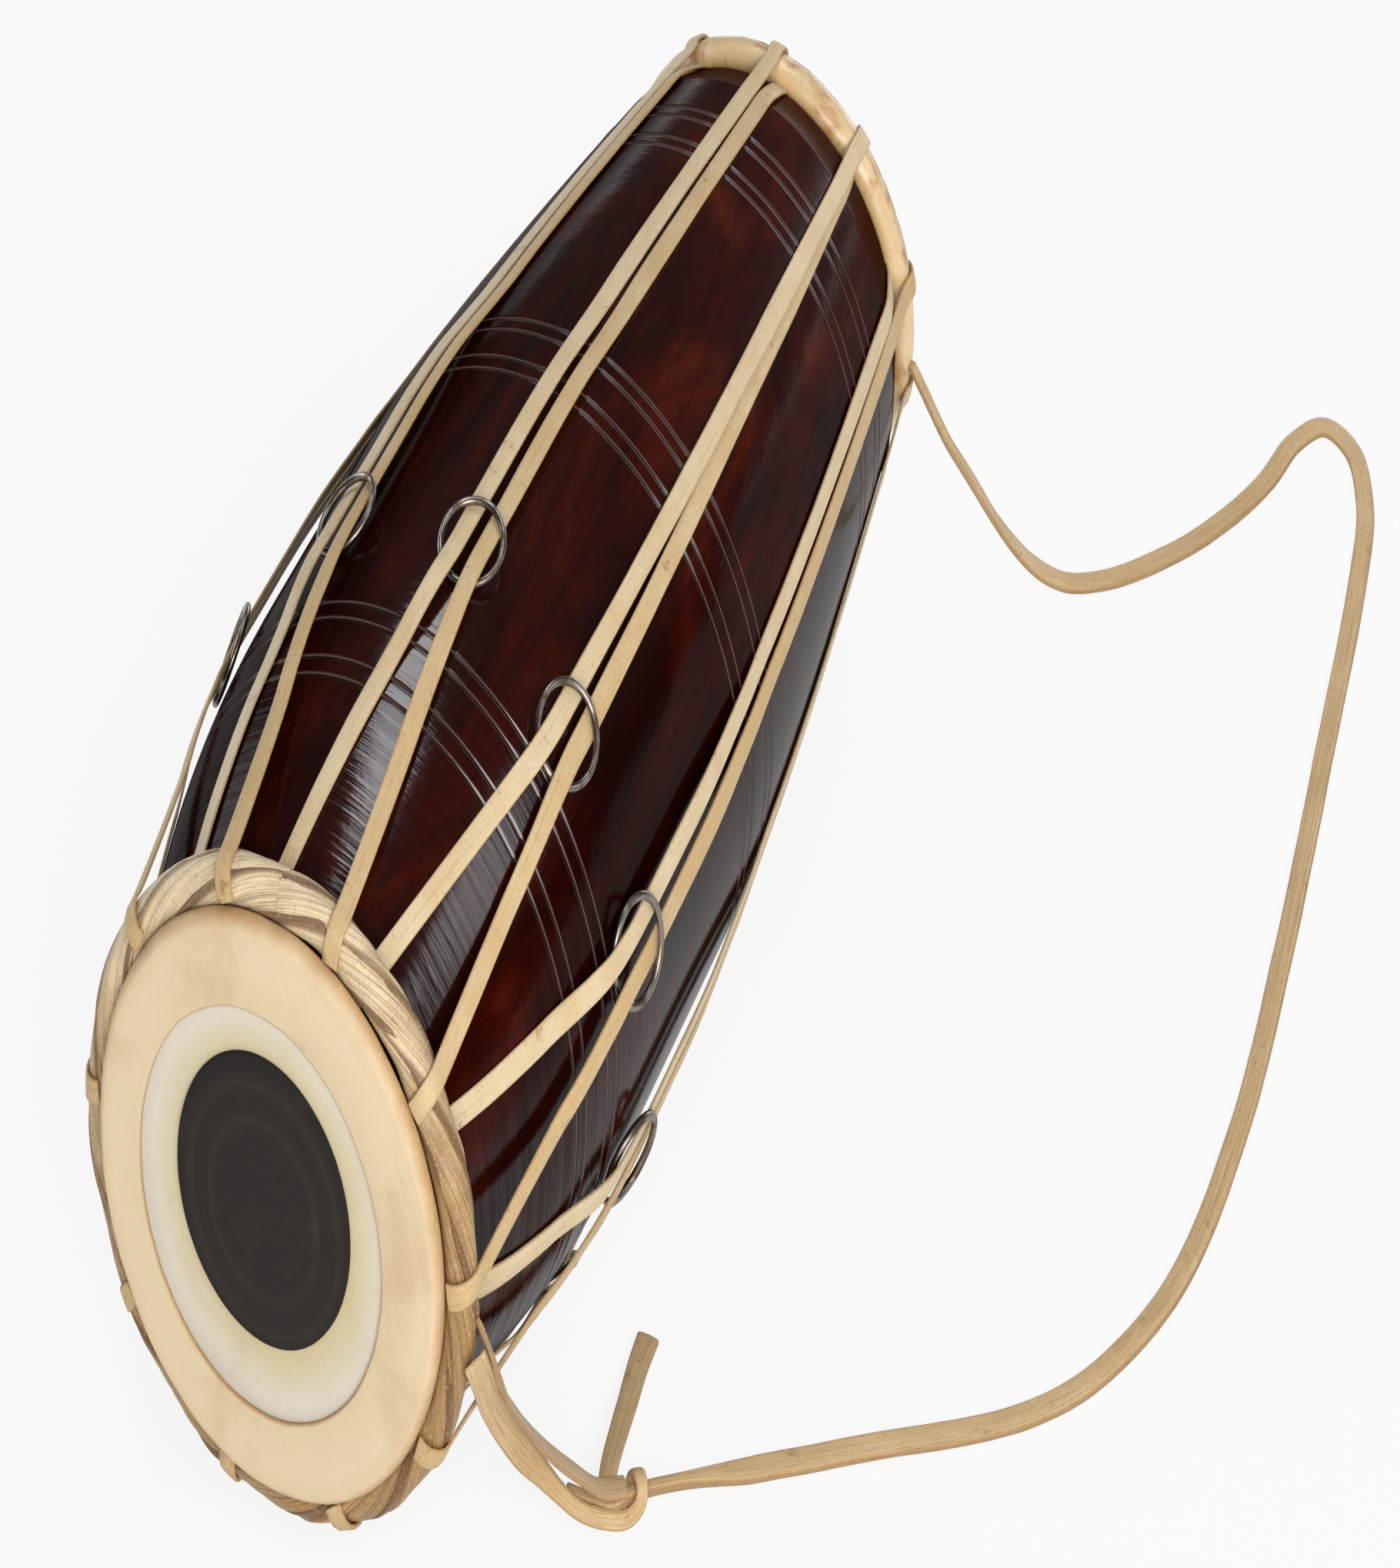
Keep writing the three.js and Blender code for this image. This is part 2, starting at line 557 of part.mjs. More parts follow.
function buildCarryingStrap() {
  const { lerp } = THREE.MathUtils;
  const strapAt = (t) => {
    const open = share(t, ROOT_SHARE) * (1 - share(t, KNOT_SHARE));
    return strapOutline(lerp(ROLLED_W, STRAP_W, open), lerp(ROLLED_T, STRAP_T, open));
  };
  const strandAt = () => strapOutline(STRAP_W, TAIL_T);
  const tailAt = (t) => strapOutline(lerp(TAIL_ROOT_W, TAIL_END_W, t), TAIL_T);
  layStrap('carry_strap', STRAP_ROUTE, 52, [FACE_OUT, FACE_UP], [0, 0.12], strapAt);
  layStrap('carry_loop_lower', LOWER_ROUTE, 16, [LOWER_FACE, LOWER_FACE], [0, 1], strandAt);
  layStrap('carry_loop_upper', UPPER_ROUTE, 16, [UPPER_FACE, FACE_UP], [0.7, 1], strandAt);
  layStrap('carry_tail', TAIL_ROUTE, 8, [FACE_UP, FACE_UP], [0, 1], tailAt);
  buildKnot();
}

add('shell', turnedRing(shellOutline()), wood());
buildFrontHead();
buildRearHead();
buildBraid();
buildLacing();
buildRings();
buildCarryingStrap();

// The drum stands on the floor, with the origin on the floor under the middle of its own box
const body = new THREE.Box3();
for (const mesh of drum.children) {
  if (!mesh.name.startsWith('carry_')) body.expandByObject(mesh, true);
}
const middle = body.getCenter(new THREE.Vector3());
drum.position.set(-middle.x, -middle.y, -body.min.z);

const madal = new THREE.Group();
madal.add(drum);

export default madal;
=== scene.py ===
"""Madal: the look of a Nepali two-headed hand drum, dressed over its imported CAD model.

The photograph is stretched upwards by about 1.7, so no plain camera sees both round heads as it shows them. The drum
here is truly round. The camera carries the stretch: its rig leans the camera's upright axis toward its viewing axis,
which scales and tilts the picture plane only. Every other view of this scene is an ordinary camera.

Sizes are in millimetres in the drum's own frame: the axis runs along +Y from the front skin's face, and angles are
counted from straight up toward +X.
"""
import json
import logging
import math
from dataclasses import dataclass
from enum import Enum
from typing import Any, Sequence

import bmesh
import bpy
import numpy as np
from mathutils import Matrix, Vector

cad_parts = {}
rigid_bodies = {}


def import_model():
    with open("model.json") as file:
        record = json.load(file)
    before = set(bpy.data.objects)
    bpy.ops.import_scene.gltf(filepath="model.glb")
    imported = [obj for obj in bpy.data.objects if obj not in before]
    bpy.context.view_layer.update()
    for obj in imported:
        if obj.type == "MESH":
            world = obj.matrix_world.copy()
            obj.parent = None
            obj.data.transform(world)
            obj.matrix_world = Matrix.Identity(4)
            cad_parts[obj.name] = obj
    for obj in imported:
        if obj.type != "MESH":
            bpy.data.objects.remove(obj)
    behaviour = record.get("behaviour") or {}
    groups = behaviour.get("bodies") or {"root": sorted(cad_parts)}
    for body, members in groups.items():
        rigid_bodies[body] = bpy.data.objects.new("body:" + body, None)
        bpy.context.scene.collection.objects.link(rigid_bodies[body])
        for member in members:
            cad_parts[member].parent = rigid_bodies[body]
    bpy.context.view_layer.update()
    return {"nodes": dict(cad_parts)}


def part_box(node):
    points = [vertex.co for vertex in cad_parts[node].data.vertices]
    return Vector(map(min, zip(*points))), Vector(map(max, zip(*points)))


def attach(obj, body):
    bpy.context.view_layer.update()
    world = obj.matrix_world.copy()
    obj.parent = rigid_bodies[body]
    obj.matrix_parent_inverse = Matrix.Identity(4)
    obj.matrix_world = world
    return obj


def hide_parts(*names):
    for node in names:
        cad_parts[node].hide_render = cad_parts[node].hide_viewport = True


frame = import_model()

MM = 0.001
LOG = logging.getLogger("madal")
Colour = tuple[float, float, float, float]
Xyz = tuple[float, float, float]
Socket = bpy.types.NodeSocket


def tint(red: int, green: int, blue: int) -> Colour:
    """Turn a colour as it looks on screen into linear light.

    Args:
        red: Red from 0 to 255.
        green: Green from 0 to 255.
        blue: Blue from 0 to 255.

    Returns:
        The linear colour with full opacity.
    """
    linear = [c / 12.92 if c <= 0.04045 else ((c + 0.055) / 1.055) ** 2.4 for c in (red / 255, green / 255, blue / 255)]
    return (linear[0], linear[1], linear[2], 1.0)


def smoothstep(value: np.ndarray | float, low: float, high: float) -> Any:
    """Ease from 0 at low to 1 at high.

    Args:
        value: What is eased, a number or an array.
        low: Where the ease begins.
        high: Where it ends.

    Returns:
        The eased share, of the same shape as value.
    """
    share = np.clip((np.asarray(value, float) - low) / (high - low), 0.0, 1.0)
    return share * share * (3 - 2 * share)


def unit(rows: np.ndarray) -> np.ndarray:
    """Scale each row of an array to length 1.

    Args:
        rows: Vectors, one in each row.

    Returns:
        The unit vectors.
    """
    return rows / np.maximum(np.linalg.norm(rows, axis=1, keepdims=True), 1e-12)


@dataclass(frozen=True)
class DrumFrame:
    """Where the drum's own frame lies in the row frame, in metres."""

    x: float
    y: float
    z: float

    @classmethod
    def measured(cls) -> "DrumFrame":
        """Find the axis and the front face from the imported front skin."""
        low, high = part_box("front_rim_skin")
        return cls((low.x + high.x) / 2, low.y, (low.z + high.z) / 2)

    @property
    def origin(self) -> np.ndarray:
        """The drum frame's origin in the row frame, in metres."""
        return np.array([self.x, self.y, self.z])

    def metres(self, points: np.ndarray) -> np.ndarray:
        """Place points of the drum's frame, in millimetres, in the row frame, in metres."""
        return np.asarray(points, float) * MM + self.origin


DRUM = DrumFrame.measured()


def around(radius: Any, place: Any, angle: Any) -> np.ndarray:
    """Points at a radius, a place along the axis and an angle from straight up toward +X.

    Args:
        radius: Distance from the axis.
        place: Distance along the axis.
        angle: Angle in degrees.

    Returns:
        The points, one in each row.
    """
    radius, place, angle = np.broadcast_arrays(*(np.atleast_1d(np.asarray(v, float)) for v in (radius, place, angle)))
    turn = np.radians(angle)
    return np.stack([radius * np.sin(turn), place, radius * np.cos(turn)], axis=1)


# Node trees


class Graph:
    """Adds nodes to a tree and joins them by value."""

    def __init__(self, tree: bpy.types.NodeTree) -> None:
        """Keep a shader or geometry node tree."""
        self.tree = tree

    def add(self, kind: str, inputs: dict[Any, Any] | None = None, **settings: Any) -> bpy.types.Node:
        """Add one node.

        Args:
            kind: The node's type name.
            inputs: Values or sockets by input name or number.
            **settings: The node's own properties, which are set first.

        Returns:
            The node.
        """
        node = self.tree.nodes.new(kind)
        for key, value in settings.items():
            setattr(node, key, value)
        for key, value in (inputs or {}).items():
            self.plug(node.inputs[key], value)
        return node

    def plug(self, socket: Socket, value: Any) -> None:
        """Link a socket to an input, or set the input's own value.

        Args:
            socket: The input.
            value: A socket to link, or a constant.
        """
        if isinstance(value, bpy.types.NodeSocket):
            self.tree.links.new(value, socket)
        else:
            socket.default_value = value

    def math(self, operation: str, a: Any, b: Any = 0.0, c: Any = 0.0) -> Socket:
        """Add a Math node of up to three values or sockets, and return its result."""
        return self.add("ShaderNodeMath", {0: a, 1: b, 2: c}, operation=operation).outputs[0]

    def span(self, value: Socket, low: float, high: float, start: float = 0.0, end: float = 1.0) -> Socket:
        """Map a value smoothly from start at low to end at high, and no further."""
        node = self.add("ShaderNodeMapRange", {"Value": value, "From Min": low, "From Max": high, "To Min": start,
                                               "To Max": end}, interpolation_type="SMOOTHSTEP")
        return node.outputs[0]

    def scaled(self, vector: Socket, factor: Any) -> Socket:
        """Multiply a vector by a number or socket."""
        return self.add("ShaderNodeVectorMath", {0: vector, 3: factor}, operation="SCALE").outputs[0]

    def vector(self, operation: str, a: Any, b: Any = (0.0, 0.0, 0.0)) -> Socket:
        """Add a Vector Math node, and return its vector, or the number of a length or a dot product."""
        node = self.add("ShaderNodeVectorMath", {0: a, 1: b}, operation=operation)
        return node.outputs["Value" if operation in ("LENGTH", "DOT_PRODUCT") else "Vector"]

    def joined(self, x: Any, y: Any, z: Any) -> Socket:
        """Join three numbers or sockets to a vector."""
        return self.add("ShaderNodeCombineXYZ", {0: x, 1: y, 2: z}).outputs[0]


class Paint(Graph):
    """One procedural material, built node by node."""

    def __init__(self, name: str) -> None:
        """Start a material with its shader.

        Args:
            name: The material's name.
        """
        self.material = bpy.data.materials.new(name)
        self.material.use_nodes = True
        super().__init__(self.material.node_tree)
        self.shader = next(n for n in self.tree.nodes if n.type == "BSDF_PRINCIPLED")

    def drum_place(self) -> Socket:
        """Object coordinates measured from the drum's own origin, in metres."""
        place = self.add("ShaderNodeTexCoord").outputs["Object"]
        return self.add("ShaderNodeMapping", {"Vector": place, "Location": tuple(-DRUM.origin)}).outputs[0]

    def off_axis(self, place: Socket) -> Socket:
        """The part of a place that leads straight out from the drum's axis."""
        return self.vector("MULTIPLY", place, (1, 0, 1))

    def facing(self, place: Socket, way: Xyz) -> Socket:
        """How far round the drum a place lies toward a direction, from -1 to 1."""
        return self.vector("DOT_PRODUCT", self.vector("NORMALIZE", self.off_axis(place)), way)

    def attribute(self, name: str, output: str = "Fac") -> Socket:
        """A value stored on the mesh: Fac for a number, Vector for a vector."""
        return self.add("ShaderNodeAttribute", attribute_name=name).outputs[output]

    def noise(self, vector: Socket, stretch: Sequence[float], detail: float = 3.0, rough: float = 0.55,
              twist: float = 0.0) -> Socket:
        """Noise from 0 to 1, by its frequency along each axis, octaves, strength of the finer ones and distortion."""
        spread = self.vector("MULTIPLY", vector, tuple(stretch))
        return self.add("ShaderNodeTexNoise", {"Vector": spread, "Scale": 1.0, "Detail": detail, "Roughness": rough,
                                               "Distortion": twist}).outputs["Fac"]

    def ramp(self, factor: Socket, stops: Sequence[tuple[float, Colour]]) -> Socket:
        """A colour ramp.

        Args:
            factor: What drives it, from 0 to 1.
            stops: Places and colours in order.

        Returns:
            The colour.
        """
        node = self.add("ShaderNodeValToRGB", {0: factor})
        steps = node.color_ramp.elements
        while len(steps) < len(stops):
            steps.new(0.5)
        for step, (place, colour) in zip(steps, stops):
            step.position = place
            step.color = colour
        return node.outputs[0]

    def mix(self, factor: Any, a: Any, b: Any, blend: str = "MIX") -> Socket:
        """Mix two colours.

        Args:
            factor: Share of the second colour.
            a: First colour or socket.
            b: Second colour or socket.
            blend: How they mix.

        Returns:
            The colour.
        """
        node = self.add("ShaderNodeMix", data_type="RGBA", blend_type=blend)
        colours = [s for s in node.inputs if s.type == "RGBA"]
        self.plug(node.inputs[0], factor)
        self.plug(colours[0], a)
        self.plug(colours[1], b)
        return next(s for s in node.outputs if s.type == "RGBA")

    def touched(self, colour: Any, pattern: Socket, low: float, high: float, amount: float, other: Any) -> Socket:
        """Mix another colour in as a pattern rises from low to high, up to an amount."""
        return self.mix(self.span(pattern, low, high, 0.0, amount), colour, other)

    def bump(self, height: Socket, strength: float, depth: float, below: Socket | None = None) -> Socket:
        """Bump the shading by a height.

        Args:
            height: The height, from 0 to 1.
            strength: How strongly it shows.
            depth: Depth of a full step, in metres.
            below: A normal that it adds to.

        Returns:
            The normal.
        """
        inputs = {"Height": height, "Strength": strength, "Distance": depth}
        if below is not None:
            inputs["Normal"] = below
        return self.add("ShaderNodeBump", inputs).outputs[0]

    def done(self, **inputs: Any) -> bpy.types.Material:
        """Set the shader's inputs.

        Args:
            **inputs: Values or sockets by input name, with underscores for spaces.

        Returns:
            The material.
        """
        for key, value in inputs.items():
            self.plug(self.shader.inputs[key.replace("_", " ")], value)
        return self.material


# Finishes


@dataclass(frozen=True)
class LacqueredWood:
    """Dark turned wood under a lacquer that is glossy on top and on its right flank, and rubbed dull elsewhere."""

    name: str = "barrel_wood"
    shoulder: float = 419.4
    # Way that the painted glow faces: wood turned toward it is painted lighter and more orange, as lit.
    painted_light_way: Xyz = (0.36, 0.0, 0.93)
    glossy: tuple[Xyz, ...] = ((0.29, 0.0, 0.957), (0.98, 0.0, -0.17))

    def material(self) -> bpy.types.Material:
        """Build the material.

        Returns:
            The material.
        """
        p = Paint(self.name)
        place = p.drum_place()
        along = p.add("ShaderNodeSeparateXYZ", {0: place}).outputs["Y"]
        # Painted light: wood facing up and a little toward +X gets a lighter, more orange colour here, which also feeds
        # the patches' bump.
        glow = p.span(p.facing(place, self.painted_light_way), 0.62, 0.97, -0.1, 0.05)
        patches = p.math("ADD", p.noise(place, (24, 11, 24), 5, 0.55, 0.7), glow)
        colour = p.ramp(patches, [(0.32, tint(24, 3, 2)), (0.46, tint(36, 5, 2)), (0.6, tint(54, 10, 3)),
                                  (0.8, tint(90, 31, 9))])
        grain = p.noise(place, (190, 10, 190), 5, 0.65)
        colour = p.touched(colour, grain, 0.44, 0.7, 0.65, tint(20, 3, 2))
        pores = p.noise(place, (800, 40, 800), 2, 0.5)
        colour = p.touched(colour, pores, 0.60, 0.76, 0.45, tint(14, 6, 6))
        cut = p.attribute("mark")
        # Painted highlight: pale grey on the flanks of each incised line.
        colour = p.touched(colour, cut, 0.02, 0.4, 0.4, tint(132, 108, 100))
        # Painted shade: near black at the bottom of each incised line.
        colour = p.mix(p.span(cut, 0.5, 0.9), colour, tint(16, 7, 6))
        worn = p.span(along, (self.shoulder - 3) * MM, self.shoulder * MM)
        colour = p.mix(p.math("MULTIPLY", worn, 0.7), colour, tint(66, 33, 18))
        turning = p.noise(place, (16, 560, 16), 3, 0.65)
        near = p.span(along, 0.05, 0.17, 1.0, 0.15)
        normal = p.bump(p.math("MULTIPLY", turning, near), 0.28, 0.0008)
        normal = p.bump(patches, 0.1, 0.004, normal)
        top, flank = (p.facing(place, way) for way in self.glossy)
        polish = p.math("MAXIMUM", p.span(top, 0.78, 0.93, 0.12, 1.0), p.span(flank, 0.86, 0.95, 0.12, 0.45))
        polish = p.math("MULTIPLY", polish, p.span(worn, 0.0, 1.0, 1.0, 0.1))
        streaks = p.math("MULTIPLY_ADD", near, p.span(turning, 0.35, 0.6, -0.38, 0.0), 1.0)
        return p.done(Base_Color=colour, Roughness=0.4, Normal=normal, Coat_Normal=normal, Coat_Roughness=0.13,
                      Coat_IOR=1.7, Coat_Weight=p.math("MULTIPLY", polish, streaks), Specular_IOR_Level=0.0)


@dataclass(frozen=True)
class HeadSkin:
    """Scraped skin whose tone changes outward from the drum's axis."""

    name: str
    rings: tuple[tuple[float, Colour], ...]
    blotch: Colour
    blotches: float = 0.35
    rough: float = 0.6
    gloss: float = 0.1
    patch: float = 26.0
    reach: float = 90.0

    def material(self) -> bpy.types.Material:
        """Build the material.

        Returns:
            The material.
        """
        p = Paint(self.name)
        place = p.drum_place()
        radius = p.vector("LENGTH", p.off_axis(place))
        drift = p.math("MULTIPLY_ADD", p.noise(place, (60, 60, 60), 3), 0.004, -0.002)
        share = p.math("DIVIDE", p.math("ADD", radius, drift), self.reach * MM)
        colour = p.ramp(share, [(r / self.reach, c) for r, c in self.rings])
        cloud = p.noise(place, (self.patch, 1.5 * self.patch, self.patch), 4, 0.6, 0.5)
        colour = p.touched(colour, cloud, 0.48, 0.74, self.blotches, self.blotch)
        speck = p.noise(place, (420, 420, 420), 3, 0.6)
        colour = p.touched(colour, speck, 0.62, 0.8, 0.35, self.blotch)
        # The mark is the front rim skin's cut inner edge, coloured brown, and the hoop skin's seam, where the brown is
        # painted shade in the fold.
        colour = p.mix(p.attribute("mark"), colour, self.blotch)
        pale = p.noise(place, (900, 900, 900), 2)
        colour = p.touched(colour, pale, 0.5, 0.8, 0.2, tint(240, 232, 216))
        normal = p.bump(p.noise(place, (260, 260, 260), 4), 0.18, 0.0006)
        return p.done(Base_Color=colour, Roughness=self.rough, Normal=normal, Coat_Weight=self.gloss,
                      Coat_Roughness=0.25)


@dataclass(frozen=True)
class Rawhide:
    """Cut rawhide with lengthwise fibres, stains and painted shade along its edges, read from each band's own length.
    """

    name: str
    pale: Colour
    warm: Colour
    stain: Colour
    fibre: float = 0.35
    # How dark the band's edges are painted, as shade.
    edge: float = 0.4
    stains: float = 0.5
    # How dark the painted shade in the band's creases is.
    crease_shade: float = 0.0
    rough: float = 0.55
    speckles: float = 0.3
    # How far the band is painted paler where it faces the next way and warmer elsewhere: painted light and shade.
    painted_light_share: float = 0.0
    painted_light_way: Xyz = (-0.35, 0.0, 0.94)

    def material(self) -> bpy.types.Material:
        """Build the material.

        Returns:
            The material.
        """
        p = Paint(self.name)
        strip = p.attribute("strip", "Vector")
        tone = p.attribute("tone")
        place = p.drum_place()
        cloud = p.noise(place, (45, 45, 45), 3, 0.6)
        share = p.math("ADD", tone, p.math("MULTIPLY_ADD", cloud, 0.9, -0.45))
        # Painted light and shade: paler on the side facing up and to the left, warmer on the far side.
        if self.painted_light_share:
            share = p.math("MULTIPLY_ADD", p.facing(place, self.painted_light_way), -self.painted_light_share, share)
        colour = p.mix(p.span(share, 0.0, 1.0), self.pale, self.warm)
        lengthwise = p.noise(strip, (14, 5, 5), 4, 0.65)
        colour = p.touched(colour, lengthwise, 0.5, 0.76, self.fibre, self.stain)
        # Painted shade: the band's edges are darkened toward the stain colour.
        side = p.math("ABSOLUTE", p.add("ShaderNodeSeparateXYZ", {0: strip}).outputs["Y"])
        colour = p.touched(colour, side, 0.8, 1.0, self.edge, self.stain)
        spot = p.noise(place, (110, 110, 110), 3, 0.65)
        colour = p.touched(colour, spot, 0.63, 0.74, self.stains, self.stain)
        speckle = p.noise(place, (950, 950, 950), 3, 0.7)
        colour = p.touched(colour, speckle, 0.5, 0.72, self.speckles, self.stain)
        colour = p.touched(colour, speckle, 0.46, 0.3, self.speckles, self.pale)
        # Painted shade: thin dark lines along noise creases, which the bump below also dents.
        fold = p.noise(strip, (9, 7, 7), 2, 0.5, 0.4)
        gap = p.math("ABSOLUTE", p.math("SUBTRACT", fold, 0.5))
        colour = p.mix(p.span(gap, 0.0, 0.035, self.crease_shade, 0.0), colour, tint(70, 42, 20))
        normal = p.bump(speckle, 0.25, 0.0004, p.bump(lengthwise, 0.35, 0.0007))
        if self.crease_shade:
            normal = p.bump(p.span(gap, 0.0, 0.05), 0.5, 0.0008, normal)
        return p.done(Base_Color=colour, Roughness=self.rough, Normal=normal, Coat_Weight=0.12, Coat_Roughness=0.3)


@dataclass(frozen=True)
class DriedPaste:
    """Matt black tuning paste laid on in rings."""

    name: str = "tuning_paste"
    radius: float = 40.5

    def material(self) -> bpy.types.Material:
        """Build the material.

        Returns:
            The material.
        """
        p = Paint(self.name)
        place = p.drum_place()
        share = p.math("DIVIDE", p.vector("LENGTH", p.off_axis(place)), self.radius * MM)
        plain, ring = tint(40, 34, 31), tint(50, 43, 40)
        colour = p.ramp(share, [(0.0, plain), (0.55, plain), (0.62, ring), (0.68, plain), (0.8, plain), (0.86, ring),
                                (0.92, plain), (1.0, tint(34, 30, 28))])
        dust = p.noise(place, (70, 70, 70), 4, 0.6)
        colour = p.touched(colour, dust, 0.5, 0.8, 0.2, tint(70, 60, 54))
        normal = p.bump(p.noise(place, (700, 700, 700), 4), 0.3, 0.0005)
        return p.done(Base_Color=colour, Roughness=0.85, Normal=normal, Specular_IOR_Level=0.25)


@dataclass(frozen=True)
class RingSteel:
    """Dull steel wire with brown tarnish."""

    name: str = "ring_steel"

    def material(self) -> bpy.types.Material:
        """Build the material.

        Returns:
            The material.
        """
        p = Paint(self.name)
        cloud = p.noise(p.drum_place(), (160, 160, 160), 3)
        colour = p.mix(p.span(cloud, 0.4, 0.66), tint(140, 132, 124), tint(92, 76, 64))
        return p.done(Base_Color=colour, Metallic=1.0, Roughness=p.span(cloud, 0.4, 0.7, 0.28, 0.5))


@dataclass(frozen=True)
class BareCane:
    """Plain cane of the hidden hoop."""

    name: str = "cane"

    def material(self) -> bpy.types.Material:
        """Build the material.

        Returns:
            The material.
        """
        p = Paint(self.name)
        streak = p.noise(p.drum_place(), (300, 300, 300), 3)
        return p.done(Base_Color=p.mix(streak, tint(196, 158, 104), tint(150, 112, 66)), Roughness=0.6)


# Shape builders


class Section(Enum):
    """Cross-section of a band, as the power of its superellipse: 1 is round and less is squarer."""

    ROUND = 1.0
    STRAND = 0.62
    BAND = 0.42


# Rows of a band's end cap, tip first: how far each stands out and how large it is, as shares of the half thickness.
CAP_ROWS = ((0.55, 0.0), (0.55, 0.62), (0.4125, 0.86))


@dataclass
class Path:
    """Stations of one band in the drum's frame: points, the way its face looks, and its half sizes."""

    points: np.ndarray
    faces: np.ndarray
    half_width: np.ndarray
    half_thick: np.ndarray
    closed: bool = False

    @classmethod
    def of(cls, points: np.ndarray, faces: np.ndarray, width: Any, thick: Any, closed: bool = False) -> "Path":
        """Make a path whose width and thickness may be single numbers.

        Args:
            points: Points along it.
            faces: The way its face looks at each point.
            width: Full width.
            thick: Full thickness.
            closed: Whether it ends where it begins.

        Returns:
            The path.
        """
        count = len(points)
        return cls(np.asarray(points, float), unit(np.asarray(faces, float)),
                   np.broadcast_to(np.asarray(width, float) / 2, count).copy(),
                   np.broadcast_to(np.asarray(thick, float) / 2, count).copy(), closed)

    def smoothed(self, step: float) -> "Path":
        """Run a smooth curve through the stations and space them evenly.

        Args:
            step: Distance between the new stations.

        Returns:
            The new path.
        """
        pts = self.points
        before, after = 2 * pts[0] - pts[1], 2 * pts[-1] - pts[-2]
        ends = np.vstack([before, pts, after])
        gaps = np.maximum(np.linalg.norm(np.diff(ends, axis=0), axis=1) ** 0.5, 1e-6)
        fine, at = [], []
        for i in range(len(pts) - 1):
            p0, p1, p2, p3 = ends[i:i + 4]
            d0, d1, d2 = gaps[i:i + 3]
            m1 = ((p1 - p0) / d0 - (p2 - p0) / (d0 + d1) + (p2 - p1) / d1) * d1
            m2 = ((p2 - p1) / d1 - (p3 - p1) / (d1 + d2) + (p3 - p2) / d2) * d1
            t = np.linspace(0, 1, 16, endpoint=i == len(pts) - 2)[:, None]
            fine.append((2 * t**3 - 3 * t**2 + 1) * p1 + (t**3 - 2 * t**2 + t) * m1 + (3 * t**2 - 2 * t**3) * p2
                        + (t**3 - t**2) * m2)
            at.append(i + t[:, 0])
        line, share = np.vstack(fine), np.concatenate(at)
        length = np.concatenate([[0], np.cumsum(np.linalg.norm(np.diff(line, axis=0), axis=1))])
        even = np.linspace(0, length[-1], max(2, round(length[-1] / step)) + 1)
        place = np.interp(even, length, share)
        points = np.stack([np.interp(even, length, part) for part in line.T], axis=1)
        stations = (*self.faces.T, self.half_width, self.half_thick)
        *faces, width, thick = (np.interp(place, np.arange(len(pts)), values) for values in stations)
        return Path(points, unit(np.stack(faces, axis=1)), width, thick)

    def length(self) -> float:
        """Length of the path in millimetres."""
        return float(np.linalg.norm(np.diff(self.points, axis=0), axis=1).sum())

    def capped(self) -> "Path":
        """Add small end stations that round off and close both ends.

        Returns:
            The path with its end caps, or the same path if it is closed.
        """
        own = (self.points, self.faces, self.half_width, self.half_thick)
        if self.closed:
            return Path(*(np.concatenate([values, values[:1]]) for values in own), closed=True)
        caps = []
        for end, inner in ((0, 1), (-1, -2)):
            way = unit((self.points[end] - self.points[inner])[None])[0]
            thick, width = self.half_thick[end], self.half_width[end]
            rows = [(self.points[end] + way * reach * thick, self.faces[end],
                     width - (1 - size) * (thick if size else width), thick * size) for reach, size in CAP_ROWS]
            caps.append([np.array(values) for values in zip(*rows)])
        return Path(*(np.concatenate([head, values, tail[::-1]]) for head, values, tail in zip(caps[0], own, caps[1])))

    def mesh(self, name: str) -> bpy.types.Mesh:
        """Stations as loose points that carry the sweep's values.

        Args:
            name: Name of the mesh.

        Returns:
            The mesh.
        """
        ends = self.capped()
        pts = ends.points
        if self.closed:
            ring = pts[:-1]
            tangents = np.roll(ring, -1, axis=0) - np.roll(ring, 1, axis=0)
            tangents = np.vstack([tangents, tangents[:1]])
        else:
            tangents = np.gradient(pts, axis=0)
            tangents[:3], tangents[-3:] = tangents[3], tangents[-4]
        across = unit(np.cross(unit(tangents), ends.faces))
        out = np.cross(across, unit(tangents))
        along = np.concatenate([[0], np.cumsum(np.linalg.norm(np.diff(pts, axis=0), axis=1))])
        made = bpy.data.meshes.new(name)
        made.from_pydata(DRUM.metres(pts).tolist(), [], [])
        for key, rows in (("face", out), ("across", across)):
            made.attributes.new(key, "FLOAT_VECTOR", "POINT").data.foreach_set("vector", rows.ravel())
        sizes = (("half_width", ends.half_width), ("half_thick", ends.half_thick), ("along", along))
        for key, values in sizes:
            made.attributes.new(key, "FLOAT", "POINT").data.foreach_set("value", values * MM)
        return made


